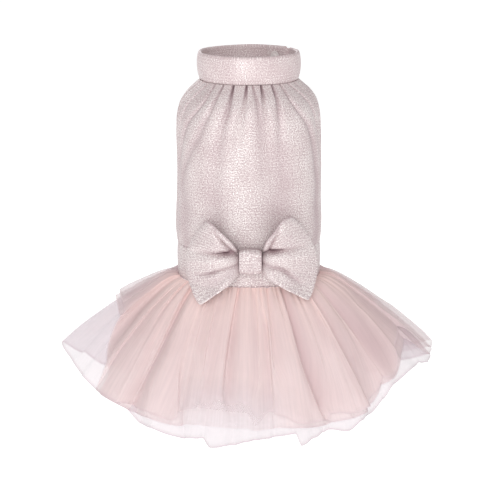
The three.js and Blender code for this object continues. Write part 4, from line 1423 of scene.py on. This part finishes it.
@dataclass(frozen=True)
class Pleats:
    """Uneven small gathers round a ring, each with its own width and depth."""

    count: int
    seed: int
    unevenness: float

    def trough(self, azimuth: np.ndarray) -> np.ndarray:
        """How deep the gathers are at an azimuth, from 0 on a crest to about 1."""
        random = np.random.default_rng(self.seed)
        widths = 1 + self.unevenness * random.uniform(-1, 1, self.count)
        edges = -180 + 360 * np.concatenate([[0], np.cumsum(widths)]) / widths.sum()
        strengths = random.uniform(0.4, 1.2, self.count)
        index = np.clip(np.searchsorted(edges, azimuth, side="right") - 1, 0, self.count - 1)
        phase = FULL_TURN * (azimuth - edges[index]) / (edges[index + 1] - edges[index])
        return strengths[index] * (1 - np.cos(phase)) / 2


@dataclass(frozen=True)
class LayerSpec:
    """What sets one layer of the skirt apart."""

    word: str
    order: int
    seed: int
    slot: Slot
    waist_gather: float
    hem_gather: float
    crease_share: float
    thin: float


@dataclass
class Skirt:
    """Layers of tulle gathered into the waist seam, in deep folds that all layers share."""

    seam_radius: float = 55.3
    seam_z: float = -149.4
    power: float = 2.4
    pitch: float = 1.65
    spread_side: float = 1.5
    spread_front_extra: float = 1.5
    arch_front: float = 5.5
    arch_side_extra: float = 1.5
    arch_length: float = 112.0
    spring_rise: float = 3.0
    spring_length: float = 9.0
    spring_azimuth: float = 80.0
    spring_half: float = 18.0
    columns: int = 1440
    rows: int = 46
    hem_line: float = 0.7
    gather_fall: float = 50.0
    side_start: float = 70.0
    side_end: float = 92.0
    side_loss: float = 0.5
    left_loss: float = 0.35
    left_azimuth: float = -85.0
    left_half: float = 25.0
    thin_azimuth: float = -8.0
    thin_half: float = 21.0
    hidden_start: float = 90.0
    hidden_step: float = 9.5
    # The hidden creases' fold darkening per millimetre of depth: partly doubled net, partly painted shade.
    hidden_shade: float = 0.08
    # The gathers at the waist: many fine ones that soon fade, and fewer soft long ones.
    fine_pleats: int = 126
    fine_depth: float = 1.1
    fine_fall: float = 14.0
    soft_pleats: int = 66
    soft_depth: float = 0.7
    soft_fall: float = 55.0
    pleat_unevenness: float = 0.5
    ruffle: float = 0.7
    ruffle_length: float = 14.0
    ruffle_radius: float = 110.0
    ruffle_run: float = 30.0
    ruffle_seed_step: int = 3
    soft_seed_step: int = 1
    # A deep crease starts and ends in ramps, widens on its way down, and has shoulders.
    ramp_lead: float = 0.1
    ramp_in: float = 0.14
    ramp_out: float = 0.2
    crease_narrow: float = 0.75
    crease_widening: float = 0.35
    shoulder_width: float = 2.4
    shoulder_share: float = 0.35
    depth_full_at: float = 0.35
    band_full_at: float = 0.5
    slip_share: float = 1.15
    # The folded side of a crease, with its painted shade, begins sharply at its line and then fades.
    flank_lead: float = 0.1
    flank_sharpness: float = 9.0
    flank_fade: float = 1.3
    fold_end: float = 1.05
    fold_ramp: float = 0.4
    row_bunching: float = 1.1
    seam_clear: float = 0.4
    fine_cover: float = 0.12
    soft_cover: float = 0.1
    thin_start: float = 0.72
    thin_ramp: float = 0.25
    layers: tuple[LayerSpec, ...] = (
        LayerSpec("top", 0, Seed.SKIRT_TOP, Slot.TULLE, 0.93, 0.42, 1.0, 0.4),
        LayerSpec("middle", 1, Seed.SKIRT_MIDDLE, Slot.TULLE, 0.93, 0.42, 0.9, 0.3),
        LayerSpec("under", 2, Seed.SKIRT_UNDER, Slot.SHEER, 0.8, 0.0, 0.6, 0.0),
    )

    def creases(self) -> list[SkirtCrease]:
        """The front's creases, and similar ones round the hidden sides and back."""
        random = np.random.default_rng(Seed.HIDDEN_CREASES)
        creases = list(FRONT_CREASES)
        azimuth = self.hidden_start
        while azimuth < 360 - self.hidden_start:
            drift = random.uniform(-2, 2)
            depth, width = random.uniform(1.8, 4.2), random.uniform(2.4, 4.0)
            lean, end = random.choice([-1.0, 1.0]), random.choice([0.6, 1.2, 1.2])
            foot = azimuth + drift
            shade = self.hidden_shade * depth
            creases.append(SkirtCrease(azimuth, foot, foot, depth, width, lean, shade, width, 0, end))
            azimuth += self.hidden_step * random.uniform(0.7, 1.3)
        return creases

    @staticmethod
    def grown(down: np.ndarray, full_at: float) -> np.ndarray:
        """How much of its size a crease has: about half at the waist, and all from a share down."""
        return 0.55 + 0.45 * np.minimum(1, down / full_at)

    def folded(self, cloth: np.ndarray, down: np.ndarray) -> tuple[np.ndarray, np.ndarray, np.ndarray]:
        """Adds up the deep creases.

        Args:
            cloth: The azimuth at which the net leaves the waist.
            down: The share of its length.

        Returns:
            The lift off the smooth form in millimetres, the sideways slip in degrees, and how
            far the net is folded over, from 0 to 1, which darkens it partly as doubled net and
            partly as painted shade.
        """
        lift, slip, fold = (np.zeros_like(cloth) for _ in range(3))
        for crease in self.creases():
            centre = smooth_curve((0, 0.5, 1), (crease.waist, crease.halfway, crease.hem), down)
            off = (cloth - centre + 180) % 360 - 180
            ramp_in = np.clip((down - crease.start + self.ramp_lead) / self.ramp_in, 0, 1)
            ramp_out = np.clip((crease.end - down) / self.ramp_out, 0, 1)
            strength = ramp_in * ramp_out * ramp_out * (3 - 2 * ramp_out)
            width = crease.width * (self.crease_narrow + self.crease_widening * down)
            trough, shoulder = soft_bump(off, width), soft_bump(off, self.shoulder_width * width)
            hollow = strength * (trough - self.shoulder_share * shoulder)
            lift -= crease.depth * self.grown(down, self.depth_full_at) * hollow
            slip -= crease.lean * self.slip_share * width * strength * trough
            # The folded side of the lean: partly doubled net, partly painted shade.
            beyond = crease.lean * off / (crease.band * self.grown(down, self.band_full_at))
            flank = 1 / (1 + np.exp(-(beyond + self.flank_lead) * self.flank_sharpness))
            flank = flank * np.exp(-np.maximum(0, beyond) ** 2 * self.flank_fade)
            swell = 0.6 + 0.4 * np.sin(math.pi * np.clip(down, 0, 1))
            faded = strength * swell * np.clip((self.fold_end - down) / self.fold_ramp, 0, 1)
            fold = np.maximum(fold, crease.shade * faded * flank)
        return lift, slip, fold

    def grid(self, layer: LayerSpec) -> tuple[np.ndarray, np.ndarray, dict[str, np.ndarray]]:
        """Lays out one layer.

        Args:
            layer: Which one.

        Returns:
            Its points, its weave coordinates, and what its finish reads at each point.
        """
        folds = {name: np.array([getattr(f, name) for f in SKIRT_FOLDS], float) for name in SkirtFold._fields}
        share = np.linspace(0, 1, self.rows - 1) ** self.row_bunching
        share = np.sort(np.append(share, 1 - self.hem_line / self.arch_length))
        cloth, down = np.meshgrid(np.linspace(-180, 180, self.columns, endpoint=False), share)
        slope = stepped_curve(folds["azimuth"], folds["slope"], cloth)
        length = stepped_curve(folds["azimuth"], folds[layer.word], cloth)
        distance = length * down
        reached = distance / self.arch_length
        frontness = np.cos(np.radians(cloth)) ** 2
        spread = self.spread_side + self.spread_front_extra * frontness
        own = np.radians(slope + (layer.order - 1) * spread)
        # The net springs out of the seam and falls in an arch.
        arch = (self.arch_front + self.arch_side_extra * (1 - frontness)) * 4
        arch = arch * reached * (1 - reached) * (1.2 - 0.4 * reached)
        sprung = distance / self.spring_length
        aside = (np.abs(cloth) - self.spring_azimuth) / self.spring_half
        arch = arch + self.spring_rise * np.exp(-aside * aside) * sprung * np.exp(1 - sprung)
        deep_lift, slip, fold = self.folded(cloth, reached)
        fine_trough = Pleats(self.fine_pleats, layer.seed, self.pleat_unevenness).trough(cloth)
        soft_seed = layer.seed + self.soft_seed_step
        soft_trough = Pleats(self.soft_pleats, soft_seed, self.pleat_unevenness).trough(cloth)
        fine_fade, soft_fade = np.exp(-distance / self.fine_fall), np.exp(-distance / self.soft_fall)
        lift = arch + layer.crease_share * deep_lift + self.seam_clear
        lift = lift - self.fine_depth * fine_fade * fine_trough - self.soft_depth * soft_fade * soft_trough
        azimuth = cloth + layer.crease_share * slip
        start = self.seam_radius * ring_reach(cloth, self.power)
        shared = np.radians(slope)
        inset = layer.order * self.pitch
        radius = start - inset * np.sin(shared) + distance * np.cos(own) + lift * np.sin(own)
        z = self.seam_z - inset * np.cos(shared) - distance * np.sin(own) + lift * np.cos(own)
        ruffle_seed = layer.seed + self.ruffle_seed_step
        waves = Unevenness(self.ruffle, self.ruffle_length, self.ruffle_run, ruffle_seed)
        ruffle = waves.at(np.radians(cloth) * self.ruffle_radius, down) * down**2
        points = polar(azimuth, radius + ruffle * np.sin(own), z + ruffle * np.cos(own))
        # It hides most where it is gathered, and least at the far sides and the thin front hem.
        away = np.clip((np.abs(cloth) - self.side_start) / (self.side_end - self.side_start), 0, 1)
        gather = (layer.waist_gather - layer.hem_gather) * np.exp(-distance / self.gather_fall)
        gather = layer.hem_gather + gather
        gather = gather + self.fine_cover * fine_trough * fine_fade
        gather = gather + self.soft_cover * (soft_trough - 0.4) * soft_fade
        thin = layer.thin * soft_bump(cloth - self.thin_azimuth, self.thin_half, 4)
        left = soft_bump(cloth - self.left_azimuth, self.left_half)
        loss = self.side_loss + self.left_loss * left
        gather = gather - thin * np.clip((down - self.thin_start) / self.thin_ramp, 0, 1)
        gather = gather * (1 - loss * away)
        hem = np.where(down > share[-2] - 1e-6, 1 - 2 * thin, 0.0)
        steps = np.linalg.norm(np.diff(points, axis=1, append=points[:, :1]), axis=-1)
        along = np.concatenate([[0], np.cumsum(steps[-1])])
        weave = np.stack(np.broadcast_arrays(along[None, :], distance[:, :1] + 0 * along[None, :]), axis=-1)
        return points, weave, {GATHER: gather, FOLD_SHADE: fold * layer.crease_share, HEM: hem}

    def make(self, finishes: dict[Slot, bpy.types.Material]) -> None:
        """Builds the layers.

        Args:
            finishes: The net's finish for each slot.
        """
        for layer in self.layers:
            points, weave, finish = self.grid(layer)
            node = f"skirt_{layer.word}"
            build = sheet_build(points, weave, True)
            piece = build.piece(f"{node}_net", finishes[layer.slot], layer.slot, node)
            for name, values in finish.items():
                paint(piece, name, values)


# Studio


@dataclass
class Studio:
    """A pale room with soft light, and the photograph's camera."""

    floor_z: float = -0.45
    floor_half: float = 4.0
    floor_colour: str = "#FAFAFA"
    floor_glow: float = 0.42
    fill: float = 0.56
    light_target: tuple[float, float, float] = (0.0, 0.0, -0.12)
    camera_place: tuple[float, float, float] = (0.0009, -1.298, 0.190)
    camera_pitch: float = 14.03
    lens: float = 124.0

    def floor(self) -> None:
        """Lays a plain pale floor that rises into the distance."""
        count = 24
        x, y = np.meshgrid(np.linspace(-1, 1, count), np.linspace(-1, 1, count))
        rise = np.maximum(0, y - 0.55) ** 2 * 2.4
        grid = np.stack([x, y, rise], axis=-1) * self.floor_half / MM
        grid[..., 2] += self.floor_z / MM
        build = sheet_build(grid, np.zeros((count, count, 2)), False)
        material, shader, _ = new_material("matt_paper")
        set_inputs(shader, {
            "Base Color": linear(self.floor_colour),
            "Roughness": 0.9,
            "Specular IOR Level": 0.0,
            "Emission Color": (1.0, 1.0, 1.0, 1.0),
            "Emission Strength": self.floor_glow,
        })
        floor = placed("studio_floor", build.mesh("studio_floor", material))

    def light(self, name: str, place: tuple[float, float, float], size: float, power: float) -> None:
        """Adds a square softbox that faces the dress.

        Args:
            name: The lamp's name.
            place: Where it stands, in metres.
            size: Its side, in metres.
            power: In watts.
        """
        lamp = bpy.data.lights.new(name, "AREA")
        lamp.size = size
        lamp.energy = power
        obj = placed(name, lamp)
        back = np.array(place) - np.array(self.light_target)
        pitch = math.atan2(math.hypot(back[0], back[1]), back[2])
        obj.location = place
        obj.rotation_euler = (pitch, 0.0, math.atan2(back[0], -back[1]))

    def world(self) -> None:
        """Fills the room with even light, seen as clean white behind the dress."""
        world = bpy.data.worlds.new("studio_room")
        bpy.context.scene.world = world
        world.use_nodes = True
        tree = world.node_tree
        ground = tree.nodes["Background"]
        seen = add_node(tree, "LightPath").outputs["Is Camera Ray"]
        strength = add_node(tree, "MapRange", {"Value": seen, "To Min": self.fill, "To Max": 1.0})
        set_inputs(ground, {"Color": (1.0, 1.0, 1.0, 1.0), "Strength": strength.outputs[0]})

    def camera(self) -> None:
        """Sets up the photograph's camera."""
        data = bpy.data.cameras.new("photo_camera")
        data.lens = self.lens
        data.sensor_width = 36.0
        data.clip_start = 0.05
        data.clip_end = 50.0
        camera = placed("photo_camera", data)
        camera.location = self.camera_place
        camera.rotation_euler = (math.radians(90 - self.camera_pitch), 0.0, 0.0)
        bpy.context.scene.camera = camera

    def make(self) -> None:
        """Builds the room, the lamps and the camera."""
        self.floor()
        self.world()
        self.light("front_softbox", (-0.24, -1.9, 0.5), 1.2, 18.5)
        self.light("side_softbox", (1.7, -0.7, 0.5), 1.0, 1.5)
        self.light("back_softbox", (-0.5, 1.9, 0.6), 1.2, 8.0)
        self.camera()
        scene = bpy.context.scene
        scene.view_settings.view_transform = "Standard"
        scene.cycles.transparent_max_bounces = 48


def main() -> None:
    """Builds the dress and the studio, and logs each piece."""
    logging.basicConfig(level=logging.INFO, format="%(name)s %(message)s")
    Studio().make()
    knit = RibKnit().material()
    binding = RibKnit(
        name="metal_yarn_binding_knit", yarn="#CFC0C0", furrow="#AE989D", row_pitch=1.2
    ).material()
    ribbon = RibKnit(
        name="metal_yarn_rib_ribbon", glint="#F8F2F0", dusk="#B7A1A6", row_strength=0.8, speck_rate=0.55
    ).material()
    # The collar's knit is pressed flat, so its specks are fainter; its yarn is a little pinker and darker
    # than the body's as painted shade.
    pressed_shaded = RibKnit(
        name="metal_yarn_rib_pressed", yarn="#D5C5C5", furrow="#BFA9AB", glint="#F8F1EF", dusk="#BDA5AA"
    ).material()
    plastic = MouldedAcetal().material()
    Collar().make(pressed_shaded, plastic)
    Bodice().make(knit, binding)
    Waistband().make(ribbon)
    for loop in BOW_LOOPS:
        loop.make(ribbon)
    BowKnot().make(ribbon)
    net = Tulle().material()
    sheer = Tulle(
        name="tulle_net_sheer",
        open_colour="#CFBFC7",
        deep_colour="#D9BFC2",
        hem_colour="#C3AEB6",
        open_cover=0.42,
        deep_cover=0.72,
    ).material()
    Skirt().make({Slot.TULLE: net, Slot.SHEER: sheer})


if __name__ == "__main__":
    main()
